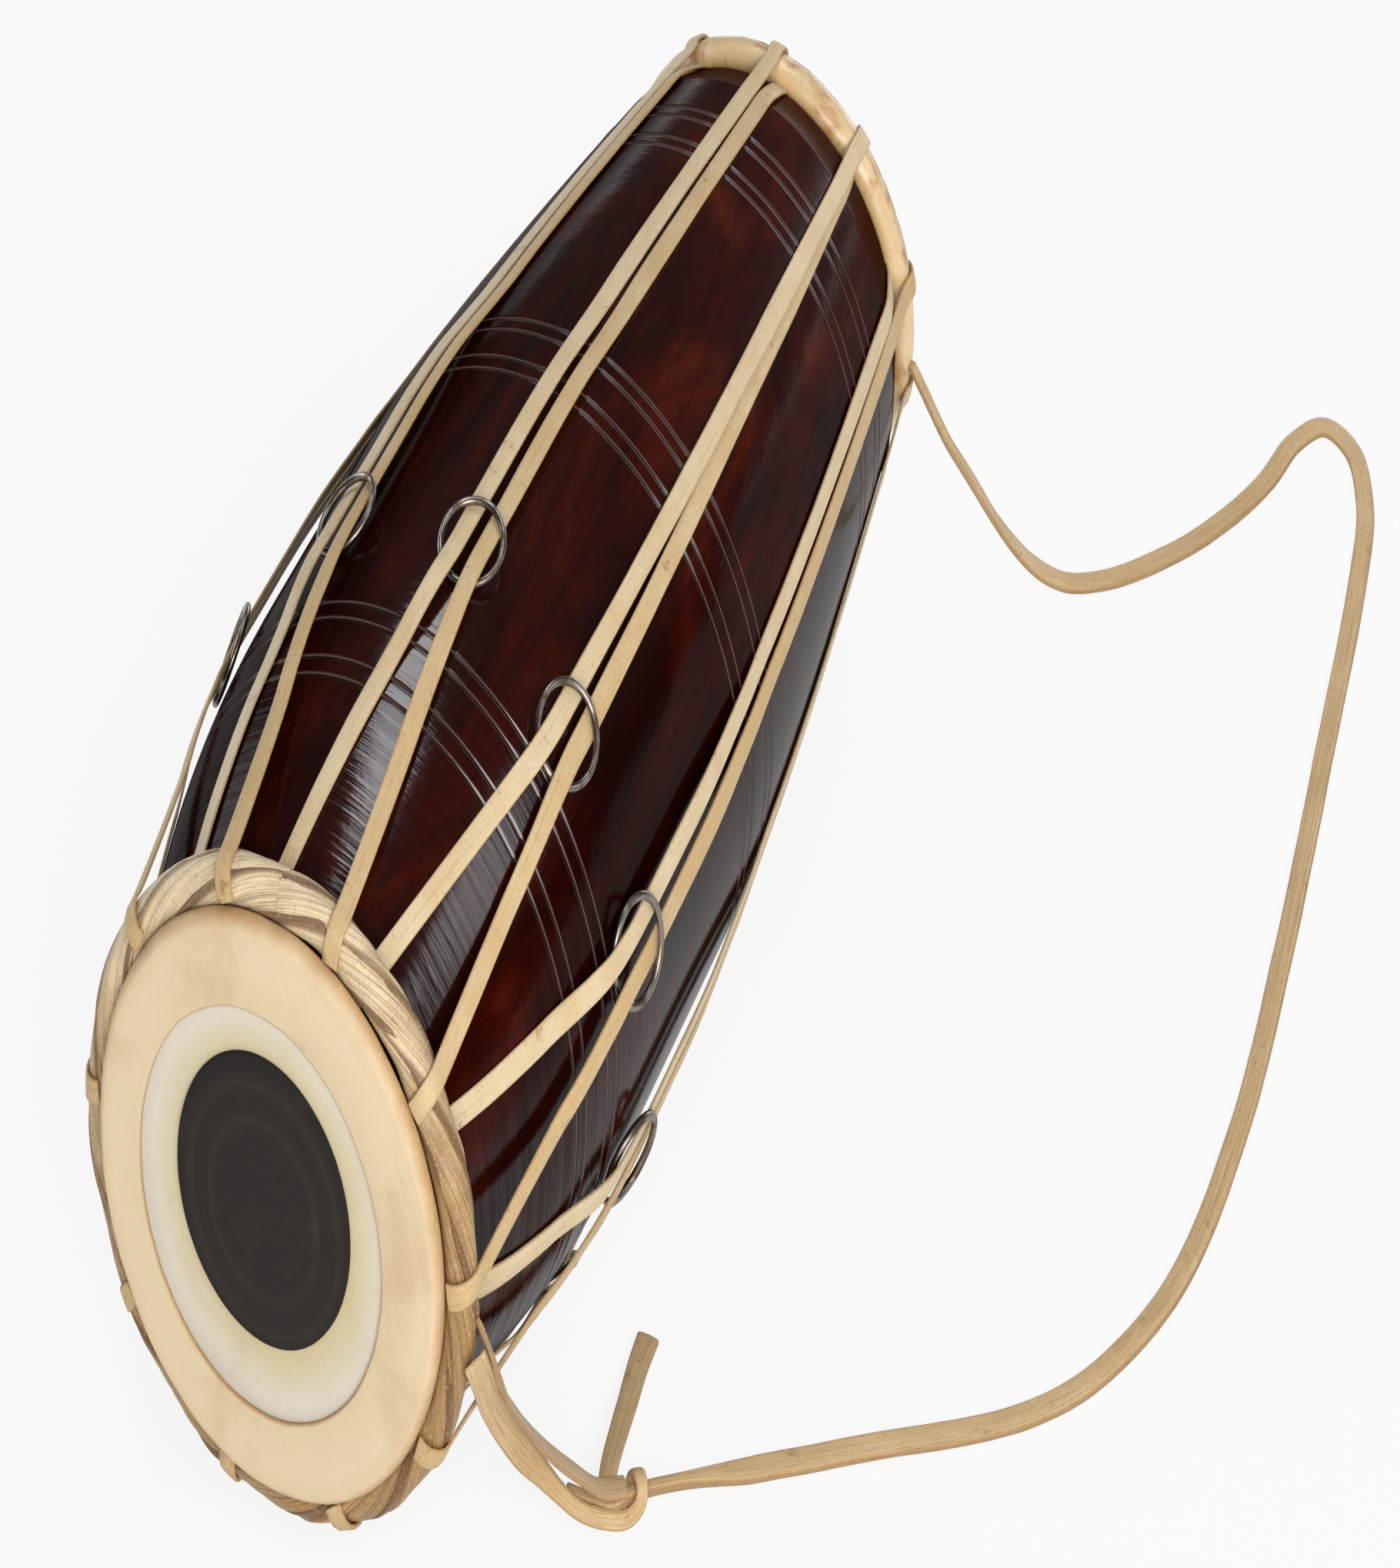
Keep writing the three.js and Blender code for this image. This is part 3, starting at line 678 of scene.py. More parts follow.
class GridTree:
    """A Geometry Nodes tree that bends a grid: rows follow the given points and columns go round."""

    def __init__(self, name: str, sizes: dict[str, float]) -> None:
        """Start the tree with its named inputs.

        Args:
            name: The tree's name.
            sizes: Name and default of each number that it takes besides the common ones.
        """
        self.tree = bpy.data.node_groups.new(name, "GeometryNodeTree")
        self.ids: dict[str, str] = {}
        common = [("Geometry", "NodeSocketGeometry", None), ("Rows", "NodeSocketInt", 8),
                  ("Columns", "NodeSocketInt", 12), ("Seed", "NodeSocketFloat", 0.0),
                  ("Waver", "NodeSocketFloat", 0.0), ("Waver Scale", "NodeSocketFloat", 30.0),
                  ("Material", "NodeSocketMaterial", None)]
        for label, kind, default in [*common, *((key, "NodeSocketFloat", value) for key, value in sizes.items())]:
            socket = self.tree.interface.new_socket(name=label, in_out="INPUT", socket_type=kind)
            if default is not None:
                socket.default_value = default
            self.ids[label] = socket.identifier
        self.tree.interface.new_socket(name="Geometry", in_out="OUTPUT", socket_type="NodeSocketGeometry")
        self.g = Graph(self.tree)
        self.source = self.g.add("NodeGroupInput").outputs
        self.columns = self.g.math("ADD", self.source["Columns"], 1.0)
        grid = self.g.add("GeometryNodeMeshGrid", {"Vertices X": self.source["Rows"], "Vertices Y": self.columns})
        self.grid = grid.outputs["Mesh"]
        index = self.g.add("GeometryNodeInputIndex").outputs[0]
        self.row = self.g.math("FLOOR", self.g.math("DIVIDE", self.g.math("ADD", index, 0.5), self.columns))
        column = self.g.math("SUBTRACT", index, self.g.math("MULTIPLY", self.row, self.columns))
        self.turn = self.g.math("MULTIPLY", self.g.math("DIVIDE", column, self.source["Columns"]), math.tau)

    def sampled(self, name: str, kind: str = "FLOAT") -> Socket:
        """A stored value of the row's own point.

        Args:
            name: Attribute name, or position.
            kind: FLOAT or FLOAT_VECTOR.

        Returns:
            The value for each grid vertex.
        """
        if name == "position":
            value = self.g.add("GeometryNodeInputPosition").outputs[0]
        else:
            value = self.g.add("GeometryNodeInputNamedAttribute", {"Name": name}, data_type=kind).outputs[0]
        node = self.g.add("GeometryNodeSampleIndex", data_type=kind, domain="POINT", clamp=True)
        self.g.plug(node.inputs["Geometry"], self.source["Geometry"])
        self.g.plug(node.inputs["Value"], value)
        self.g.plug(node.inputs["Index"], self.row)
        return node.outputs[0]

    def wavered(self, place: Socket) -> Socket:
        """Shift places by slow noise.

        Args:
            place: The places.

        Returns:
            The shifted places.
        """
        noise = self.g.add("ShaderNodeTexNoise", {"Vector": place, "W": self.source["Seed"], "Detail": 2.0,
                                                  "Scale": self.source["Waver Scale"]}, noise_dimensions="4D")
        shift = self.g.vector("SUBTRACT", noise.outputs["Color"], (0.5, 0.5, 0.5))
        return self.g.vector("ADD", place, self.g.scaled(shift, self.source["Waver"]))

    def end(self, place: Socket, stored: Sequence[tuple[str, str, Socket]]) -> None:
        """Put the grid in place, keep values for the finish, and close the mesh.

        Args:
            place: Where each vertex goes.
            stored: Name, kind and value of what the finish reads.
        """
        mesh = self.grid
        for name, kind, value in stored:
            node = self.g.add("GeometryNodeStoreNamedAttribute", {"Name": name}, data_type=kind, domain="POINT")
            self.g.plug(node.inputs["Geometry"], mesh)
            self.g.plug(node.inputs["Value"], value)
            mesh = node.outputs[0]
        mesh = self.g.add("GeometryNodeSetPosition", {"Geometry": mesh, "Position": place}).outputs[0]
        mesh = self.g.add("GeometryNodeMergeByDistance", {"Geometry": mesh, "Distance": 1e-6}).outputs[0]
        mesh = self.g.add("GeometryNodeSetShadeSmooth", {"Geometry": mesh}).outputs[0]
        mesh = self.g.add("GeometryNodeRealizeInstances", {"Geometry": mesh}).outputs[0]
        mesh = self.g.add("GeometryNodeSetMaterial", {"Geometry": mesh, "Material": self.source["Material"]}).outputs[0]
        self.g.add("NodeGroupOutput", {"Geometry": mesh})

    def run(self, name: str, points: bpy.types.Mesh, **inputs: Any) -> bpy.types.Object:
        """Bend the grid along some points and keep the result as a plain mesh.

        Args:
            name: Name of the piece.
            points: The rows' own points.
            **inputs: Values by input name, with underscores for spaces.

        Returns:
            The piece, at the origin.
        """
        holder = bpy.data.objects.new(f"{name}_points", points)
        bpy.context.scene.collection.objects.link(holder)
        modifier = holder.modifiers.new(self.tree.name, "NODES")
        modifier.node_group = self.tree
        modifier[self.ids["Rows"]] = len(points.vertices)
        for label, value in inputs.items():
            modifier[self.ids[label.replace("_", " ")]] = value
        made = bpy.data.meshes.new_from_object(holder.evaluated_get(bpy.context.evaluated_depsgraph_get()))
        bpy.data.objects.remove(holder)
        made.name = name
        shape = bmesh.new()
        shape.from_mesh(made)
        bmesh.ops.dissolve_degenerate(shape, dist=1e-7, edges=shape.edges)
        bmesh.ops.recalc_face_normals(shape, faces=shape.faces)
        shape.to_mesh(made)
        shape.free()
        piece = bpy.data.objects.new(name, made)
        bpy.context.scene.collection.objects.link(piece)
        return piece


class BandSweep(GridTree):
    """Sweeps a superellipse section along a path, with ridges, a cupped face and wavering edges."""

    WAVER_SCALE = 45.0  # how quickly the edges waver, per metre
    WANDER_SCALE = 22.0  # how quickly the ridges wander round the section, per metre
    WANDER_TURN = 9.0  # how far they wander, in radians
    SEED_STEP = 3.7  # metres of grain between one seed and the next

    def __init__(self) -> None:
        """Build the tree."""
        super().__init__("BandSweep", {"Corner": 1.0, "Cup": 0.0, "Ridges": 0.0, "Ridge Depth": 0.0, "Tone": 0.5})
        g = self.g
        turn = g.math("SUBTRACT", self.turn, math.pi / 2)
        sides = []
        for wave in ("COSINE", "SINE"):
            value = g.math(wave, turn)
            power = g.math("POWER", g.math("ABSOLUTE", value), self.source["Corner"])
            sides.append(g.math("MULTIPLY", power, g.math("SIGN", value)))
        side, out = sides
        along = self.sampled("along")
        reading = g.math("ADD", g.math("MULTIPLY", along, self.WANDER_SCALE), self.source["Seed"])
        wander = g.add("ShaderNodeTexNoise", {"W": reading, "Scale": 1.0, "Detail": 1.0}, noise_dimensions="1D")
        drift = g.math("MULTIPLY", wander.outputs[0], self.WANDER_TURN)
        phase = g.math("ADD", g.math("MULTIPLY", turn, self.source["Ridges"]), drift)
        ridge = g.math("MULTIPLY_ADD", g.math("SINE", phase), self.source["Ridge Depth"], 1.0)
        width = g.math("MULTIPLY", g.math("MULTIPLY", self.sampled("half_width"), side), ridge)
        thick = g.math("MULTIPLY", g.math("MULTIPLY", self.sampled("half_thick"), out), ridge)
        cupped = g.math("SUBTRACT", thick, g.math("MULTIPLY", g.math("MULTIPLY", side, side), self.source["Cup"]))
        place = self.sampled("position", "FLOAT_VECTOR")
        place = g.vector("ADD", place, g.scaled(self.sampled("across", "FLOAT_VECTOR"), width))
        place = g.vector("ADD", place, g.scaled(self.sampled("face", "FLOAT_VECTOR"), cupped))
        strip = g.joined(g.math("MULTIPLY_ADD", self.source["Seed"], self.SEED_STEP, along), side, out)
        self.end(self.wavered(place), [("strip", "FLOAT_VECTOR", strip), ("tone", "FLOAT", self.source["Tone"])])

    def sweep(self, name: str, path: Path, section: Section, material: bpy.types.Material, sides: int = 16,
              seed: float = 0.0, tone: float = 0.5, waver: float = 0.0, cup: float = 0.0, ridges: float = 0.0,
              ridge_depth: float = 0.0) -> bpy.types.Object:
        """Sweep one band.

        Args:
            name: Name of the piece.
            path: Its stations.
            section: Its cross-section.
            material: Its finish.
            sides: Vertices around the section.
            seed: Seed of its noise.
            tone: Where its tone lies between pale and warm.
            waver: How far its edges waver, in millimetres.
            cup: How far its edges droop, in millimetres.
            ridges: Ridges around the section.
            ridge_depth: Depth of the ridges as a share of the section.

        Returns:
            The piece.
        """
        return self.run(name, path.mesh(name), Columns=sides, Seed=seed, Tone=tone, Waver=2 * waver * MM,
                        Waver_Scale=self.WAVER_SCALE, Corner=section.value, Cup=cup * MM, Ridges=ridges,
                        Ridge_Depth=ridge_depth, Material=material)


class Turning(GridTree):
    """Turns an outline about the drum's axis, with a little unevenness for skins."""

    def __init__(self) -> None:
        """Build the tree."""
        super().__init__("Turning", {"Axis X": 0.0, "Axis Z": 0.0})
        g = self.g
        point = g.add("ShaderNodeSeparateXYZ", {0: self.sampled("position", "FLOAT_VECTOR")}).outputs
        x = g.math("MULTIPLY_ADD", point["X"], g.math("SINE", self.turn), self.source["Axis X"])
        z = g.math("MULTIPLY_ADD", point["X"], g.math("COSINE", self.turn), self.source["Axis Z"])
        place = self.wavered(g.joined(x, point["Y"], z))
        self.end(place, [("mark", "FLOAT", self.sampled("mark"))])

    def turn_outline(self, name: str, outline: Sequence[tuple[float, ...]], material: bpy.types.Material,
                     sides: int = 128, seed: float = 0.0, waver: float = 0.0, waver_scale: float = 30.0,
                     aside: tuple[float, float] = (0.0, 0.0)) -> bpy.types.Object:
        """Turn one outline.

        Args:
            name: Name of the piece.
            outline: Radius, place along the axis and, if it has one, the mark that the finish reads.
            material: Its finish.
            sides: Sides of the turned piece.
            seed: Seed of its unevenness.
            waver: How uneven it is, in millimetres.
            waver_scale: How quickly the unevenness changes, per metre.
            aside: How far its own axis lies from the drum's, toward +X and up.

        Returns:
            The piece.
        """
        rows = np.array([(*p, 0.0)[:3] for p in outline])
        points = bpy.data.meshes.new(name)
        flat = np.stack([rows[:, 0] * MM, rows[:, 1] * MM + DRUM.y, np.zeros(len(rows))], axis=1)
        points.from_pydata(flat.tolist(), [], [])
        points.attributes.new("mark", "FLOAT", "POINT").data.foreach_set("value", rows[:, 2])
        return self.run(name, points, Columns=sides, Seed=seed, Waver=2 * waver * MM, Waver_Scale=waver_scale,
                        Axis_X=DRUM.x + aside[0] * MM, Axis_Z=DRUM.z + aside[1] * MM, Material=material)


def arc(centre: tuple[float, float], radius: float, start: float, end: float, steps: int) -> list[tuple[float, float]]:
    """Points on an arc in the half plane of radius and axis.

    Args:
        centre: Radius and place of its centre.
        radius: Its radius.
        start: First angle in degrees; 0 points along the axis.
        end: Last angle.
        steps: Steps between them.

    Returns:
        Radius and place of each point.
    """
    turns = np.radians(np.linspace(start, end, steps + 1))
    return [(centre[0] + radius * math.sin(a), centre[1] + radius * math.cos(a)) for a in turns]


def settle(piece: bpy.types.Object, body: str, slot: str, *nodes: str) -> bpy.types.Object:
    """Join a finished piece to the frame.

    Args:
        piece: The piece.
        body: The CAD body that it rides on.
        slot: The record's material slot; not used.
        *nodes: The CAD nodes that it stands for.

    Returns:
        The piece.
    """
    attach(piece, body)
    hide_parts(*nodes)
    LOG.info("%s: %d faces on %s for %s", piece.name, len(piece.data.polygons), body, ", ".join(nodes))
    return piece


# Sub-assemblies


@dataclass
class Barrel:
    """The turned wooden barrel with its incised lines, chamfer and bore."""

    turning: Turning
    front_mouth: float = 2.6
    rear_mouth: float = 452.0
    belly_r: float = 101.6
    belly_front: float = 140.0
    belly_rear: float = 232.0
    lip_r: float = 67.5
    front_power: float = 2.3
    shoulder: float = 420.0
    shoulder_r: float = 78.9
    rear_power: float = 1.3
    front_wall: float = 12.5
    rear_wall: float = 9.5
    rear_bore_r: float = 50.0
    bore_flare: float = 0.6
    cove_centre: tuple[float, float] = (68.5, 447.6)
    cove_r: float = 9.8
    groove_groups: tuple[float, ...] = (82.0, 223.0, 369.0)
    groove_steps: tuple[float, ...] = (0.0, 6.4, 21.0, 27.4)
    groove_width: float = 2.2
    groove_depth: float = 0.7
    groove_rows: tuple[float, ...] = (-1.25, -1.0, -0.72, -0.4, 0.0, 0.4, 0.72, 1.0, 1.25)
    groove_clear: float = 0.8
    lip_round: float = 1.2
    row_step: float = 3.0
    chamfer_rows: tuple[float, ...] = (0.0, 0.04, 0.5, 0.96)
    cove_turns: tuple[float, float] = (165.0, 270.0)

    def radius(self, place: Any) -> Any:
        """Outer radius at places along the axis.

        Args:
            place: The places.

        Returns:
            The radii.
        """
        y = np.asarray(place, float)
        front = np.maximum(0, self.belly_front - y) / (self.belly_front - self.front_mouth)
        rear = np.maximum(0, y - self.belly_rear) / (self.shoulder - self.belly_rear)
        return (self.belly_r - (self.belly_r - self.lip_r) * front**self.front_power
                - (self.belly_r - self.shoulder_r) * rear**self.rear_power)

    def bore(self, place: float) -> float:
        """Radius of the bore at a place along the axis.

        Args:
            place: The place.

        Returns:
            The radius.
        """
        share = (place - self.front_mouth) / (self.rear_mouth - self.front_mouth)
        wall = self.front_wall + (self.rear_wall - self.front_wall) * share
        return min(float(self.radius(place)) - wall, self.rear_bore_r + (self.rear_mouth - place) * self.bore_flare)

    def outline(self) -> list[tuple[float, ...]]:
        """The whole outline: the outside with its lines, the cove and the bore.

        Returns:
            Radius, place and groove mark of each point.
        """
        lines = [group + step for group in self.groove_groups for step in self.groove_steps]
        half = self.groove_width / 2
        rows = []
        for y in np.arange(self.front_mouth + self.lip_round, self.shoulder - 1, self.row_step):
            if all(abs(y - line) > half + self.groove_clear for line in lines):
                rows.append((float(self.radius(y)), float(y), 0.0))
        for line in lines:
            for u in self.groove_rows:
                depth = (1 + math.cos(math.pi * min(1.0, abs(u)))) / 2
                y = line + u * half
                rows.append((float(self.radius(y)) - self.groove_depth * depth, y, depth))
        rows.sort(key=lambda row: row[1])
        lip = [(r, self.front_mouth, 0.0) for r in (self.bore(self.front_mouth), self.lip_r - self.lip_round)]
        cove = arc(self.cove_centre, self.cove_r, *self.cove_turns, 10)
        edge = cove[0]
        chamfer = [(self.shoulder_r + (edge[0] - self.shoulder_r) * t, self.shoulder + (edge[1] - self.shoulder) * t)
                   for t in self.chamfer_rows]
        seat = [(self.cove_centre[0] - self.cove_r, self.rear_mouth)]
        inside = [(self.bore(y), y) for y in np.linspace(self.rear_mouth, self.front_mouth, 16)]
        return [*lip, *rows, *chamfer, *cove, *seat, *inside]

    def build(self) -> None:
        """Turn the barrel and dress it."""
        finish = LacqueredWood().material()
        piece = self.turning.turn_outline("barrel", self.outline(), finish, sides=160)
        settle(piece, "drum", "barrel_wood", "shell")


@dataclass
class FrontHead:
    """The tuned front head: membrane, a ring of outer skin rolled back at its edge, and the paste."""

    turning: Turning
    skin: float = 1.1
    inner_r: float = 56.6
    fold_r: float = 80.4
    roll: float = 4.4
    membrane_y: float = 1.4
    membrane_r: float = 76.3
    membrane_thick: float = 0.9
    paste_r: float = 40.2
    paste_thick: float = 2.0
    paste_slope: float = 0.9
    paste_ripple: float = 0.09
    paste_aside: tuple[float, float] = (-1.1, 2.0)
    hole_aside: tuple[float, float] = (-2.5, -2.2)

    def off_centre(self, piece: bpy.types.Object) -> None:
        """Shift the rim skin's hole aside, as the maker cut it, and leave its outer edge.

        Args:
            piece: The turned rim skin.
        """
        mesh = piece.data
        points = np.empty(3 * len(mesh.vertices))
        mesh.vertices.foreach_get("co", points)
        points = points.reshape(-1, 3)
        radius = np.hypot(points[:, 0] - DRUM.x, points[:, 2] - DRUM.z) / MM
        share = (1 - smoothstep(radius, self.inner_r + 2, self.fold_r - self.roll - 2)) * MM
        points[:, 0] += share * self.hole_aside[0]
        points[:, 2] += share * self.hole_aside[1]
        mesh.vertices.foreach_set("co", points.ravel())
        mesh.update()

    def build(self) -> None:
        """Turn the pieces and dress them."""
        rim = HeadSkin("rim_skin", ((56.0, tint(220, 200, 164)), (64.0, tint(224, 204, 169)),
                                    (72.0, tint(227, 207, 173)), (77.5, tint(224, 202, 164)),
                                    (80.8, tint(184, 144, 94))), blotch=tint(186, 148, 98), blotches=0.4)
        membrane = HeadSkin("membrane", ((38.0, tint(204, 190, 148)), (46.0, tint(214, 203, 172)),
                                         (53.0, tint(220, 212, 196)), (57.0, tint(212, 206, 194))),
                            blotch=tint(190, 170, 132), blotches=0.25, rough=0.7, gloss=0.0)
        lip = self.fold_r - self.roll
        outer = arc((lip, self.roll), self.roll, 180, 82, 12)
        inner = arc((lip, self.roll), self.roll - self.skin, 82, 180, 8)
        edge = [(self.inner_r, self.skin, 1.0), (self.inner_r, 0.45, 1.0), (self.inner_r + 0.25, 0.1, 0.6),
                (self.inner_r + 0.9, 0.0, 0.0)]
        flat = [(r, -0.12 * math.sin(math.pi * (r - 57) / 19)) for r in np.linspace(59, 74, 8)]
        ring = [*edge, *flat, *outer, *inner, (66.0, self.skin), edge[0]]
        piece = self.turning.turn_outline("front_rim", ring, rim.material(), sides=144, seed=1.0, waver=0.42,
                                          waver_scale=60.0)
        self.off_centre(piece)
        settle(piece, "drum", "rim_skin", "front_rim_skin")
        back = self.membrane_y + self.membrane_thick
        disc = [(r, self.membrane_y) for r in np.linspace(0, self.membrane_r, 20)]
        disc += [(self.membrane_r, back), (0.0, back)]
        piece = self.turning.turn_outline("front_membrane_skin", disc, membrane.material(), sides=96, seed=2.0,
                                          waver=0.06, waver_scale=40.0)
        settle(piece, "drum", "membrane", "front_membrane")
        top = []
        for r in np.linspace(0, self.paste_r, 40):
            share = r / self.paste_r
            crown = self.paste_thick * (1 - 0.12 * share**2) - self.paste_slope * smoothstep(share, 0.62, 1.0)
            ripple = self.paste_ripple * math.sin(share * 60) * smoothstep(share, 0.1, 0.4)
            top.append((float(r), self.membrane_y - 0.3 - float(crown) + float(ripple)))
        base = self.membrane_y - 0.2
        top += [(self.paste_r + 0.2, base - 0.35), (self.paste_r + 0.25, base), (0.0, base)]
        piece = self.turning.turn_outline("front_tuning_paste", top, DriedPaste().material(), seed=3.0, waver=0.12,
                                          waver_scale=60.0, aside=self.paste_aside)
        settle(piece, "drum", "tuning_paste", "front_paste")


@dataclass
class RearHead:
    """The rear head: the outer skin lapped round a cane hoop, with membrane and paste behind."""

    turning: Turning
    centre: tuple[float, float] = (68.5, 447.6)
    lap_r: float = 7.0
    lap_turn: float = 240.0
    seam: float = 62.0
    seam_width: float = 5.0
    seam_depth: float = 0.6
    skin: float = 1.1
    inner_r: float = 46.0
    membrane_y: float = 452.3
    membrane_thick: float = 0.9
    paste_r: float = 33.0
    paste_thick: float = 1.8

    def build(self) -> None:
        """Turn the pieces and dress them."""
        # Painted shade: the lap is painted a darker brown toward 66 mm, on its inner side next to the wood.
        skin = HeadSkin("hoop_skin", ((46.0, tint(206, 176, 126)), (66.0, tint(190, 138, 78)),
                                      (71.0, tint(216, 184, 132)), (77.0, tint(226, 200, 156))),
                        blotch=tint(172, 112, 54), blotches=0.85, rough=0.34, gloss=0.6, patch=75.0)
        face = self.centre[1] + self.lap_r
        lap = []
        for turn in np.linspace(self.lap_turn, 0, 49):
            # The seam is dented and painted brown, as shade in its fold.
            seam = math.exp(-((turn - self.seam) / self.seam_width) ** 2)
            lap.append((*arc(self.centre, self.lap_r - self.seam_depth * seam, turn, turn, 0)[0], 0.8 * seam))
        lining = arc(self.centre, self.lap_r - self.skin, 0, self.lap_turn, 18)
        flat = [(r, face) for r in np.linspace(62, self.inner_r, 6)]
        back = [(self.inner_r, face - self.skin), (60.0, face - self.skin)]
        outline = [*lap, *flat, *back, *lining, lap[0]]
        piece = self.turning.turn_outline("rear_hoop_skin", outline, skin.material(), sides=192, seed=5.0, waver=0.8,
                                          waver_scale=95.0)
        settle(piece, "drum", "hoop_skin", "rear_rim_skin")
        membrane = HeadSkin("rear_membrane_skin", ((33.0, tint(206, 190, 142)), (46.0, tint(220, 208, 184)),
                                                   (58.0, tint(216, 206, 186))),
                            blotch=tint(190, 166, 122), blotches=0.25, rough=0.7, gloss=0.0)
        disc = [(r, self.membrane_y) for r in (0.0, 30.0, 58.0)]
        disc += [(r, self.membrane_y + self.membrane_thick) for r in (58.0, 52.0, 44.0, 36.0, 28.0, 14.0, 0.0)]
        piece = self.turning.turn_outline("rear_head_skin", disc, membrane.material(), sides=96)
        settle(piece, "drum", "membrane", "rear_membrane")
        base = self.membrane_y + 1.1
        top = [(0.0, base), (self.paste_r + 0.2, base), (self.paste_r, base + 0.5)]
        for r in np.linspace(self.paste_r * 0.97, 0, 24):
            top.append((float(r), base + self.paste_thick * float(1 - smoothstep(r / self.paste_r, 0.6, 1.0) / 2)))
        paste = DriedPaste("rear_paste_look", self.paste_r).material()
        piece = self.turning.turn_outline("rear_tuning_paste", top, paste, sides=96, seed=6.0, waver=0.12,
                                          waver_scale=60.0)
        settle(piece, "drum", "tuning_paste", "rear_paste")
        cane = frame["nodes"]["rear_hoop"]
        cane.data.materials.clear()
        cane.data.materials.append(BareCane().material())


@dataclass
class Braid:
    """The front braid: three broad rawhide strands with a long lay, round the front lip."""

    sweep: BandSweep
    radius: float = 83.5
    place: float = 12.0
    lay_r: float = 4.2
    width: float = 12.6
    thick: float = 4.8
    cup: float = 2.3
    twists: int = 4
    phase: float = 60.0
    strands: int = 3
    uneven: float = 0.1

    def build(self) -> None:
        """Wind the strands and dress them."""
        # The braid's finish paints light and shade: paler on its upper left, warmer on its right, dark in its creases
        # and along its strands' edges.
        finish = Rawhide("braid", tint(244, 224, 186), tint(172, 135, 84), tint(112, 73, 36), fibre=0.42, edge=0.85,
                         stains=0.3, crease_shade=0.45, rough=0.5, painted_light_share=0.5).material()
        angles = np.arange(0, 360, 1.0)
        for k in range(self.strands):
            lay = np.radians(self.phase + self.twists * angles + 360 * k / self.strands)
            points = around(self.radius + self.lay_r * np.cos(lay), self.place + self.lay_r * np.sin(lay), angles)
            path = Path.of(points, around(np.cos(lay), np.sin(lay), angles), self.width, self.thick, closed=True)
            path.half_width *= 1 + self.uneven * np.sin(np.radians(angles * 5 + 110 * k))
            piece = self.sweep.sweep(f"braid_strand_{k + 1}", path, Section.STRAND, finish, sides=32, seed=11.0 + k,
                                     tone=0.75, waver=0.6, cup=self.cup, ridges=5.0, ridge_depth=0.06)
            settle(piece, "drum", "braid", f"front_braid_strand_{k + 1}")


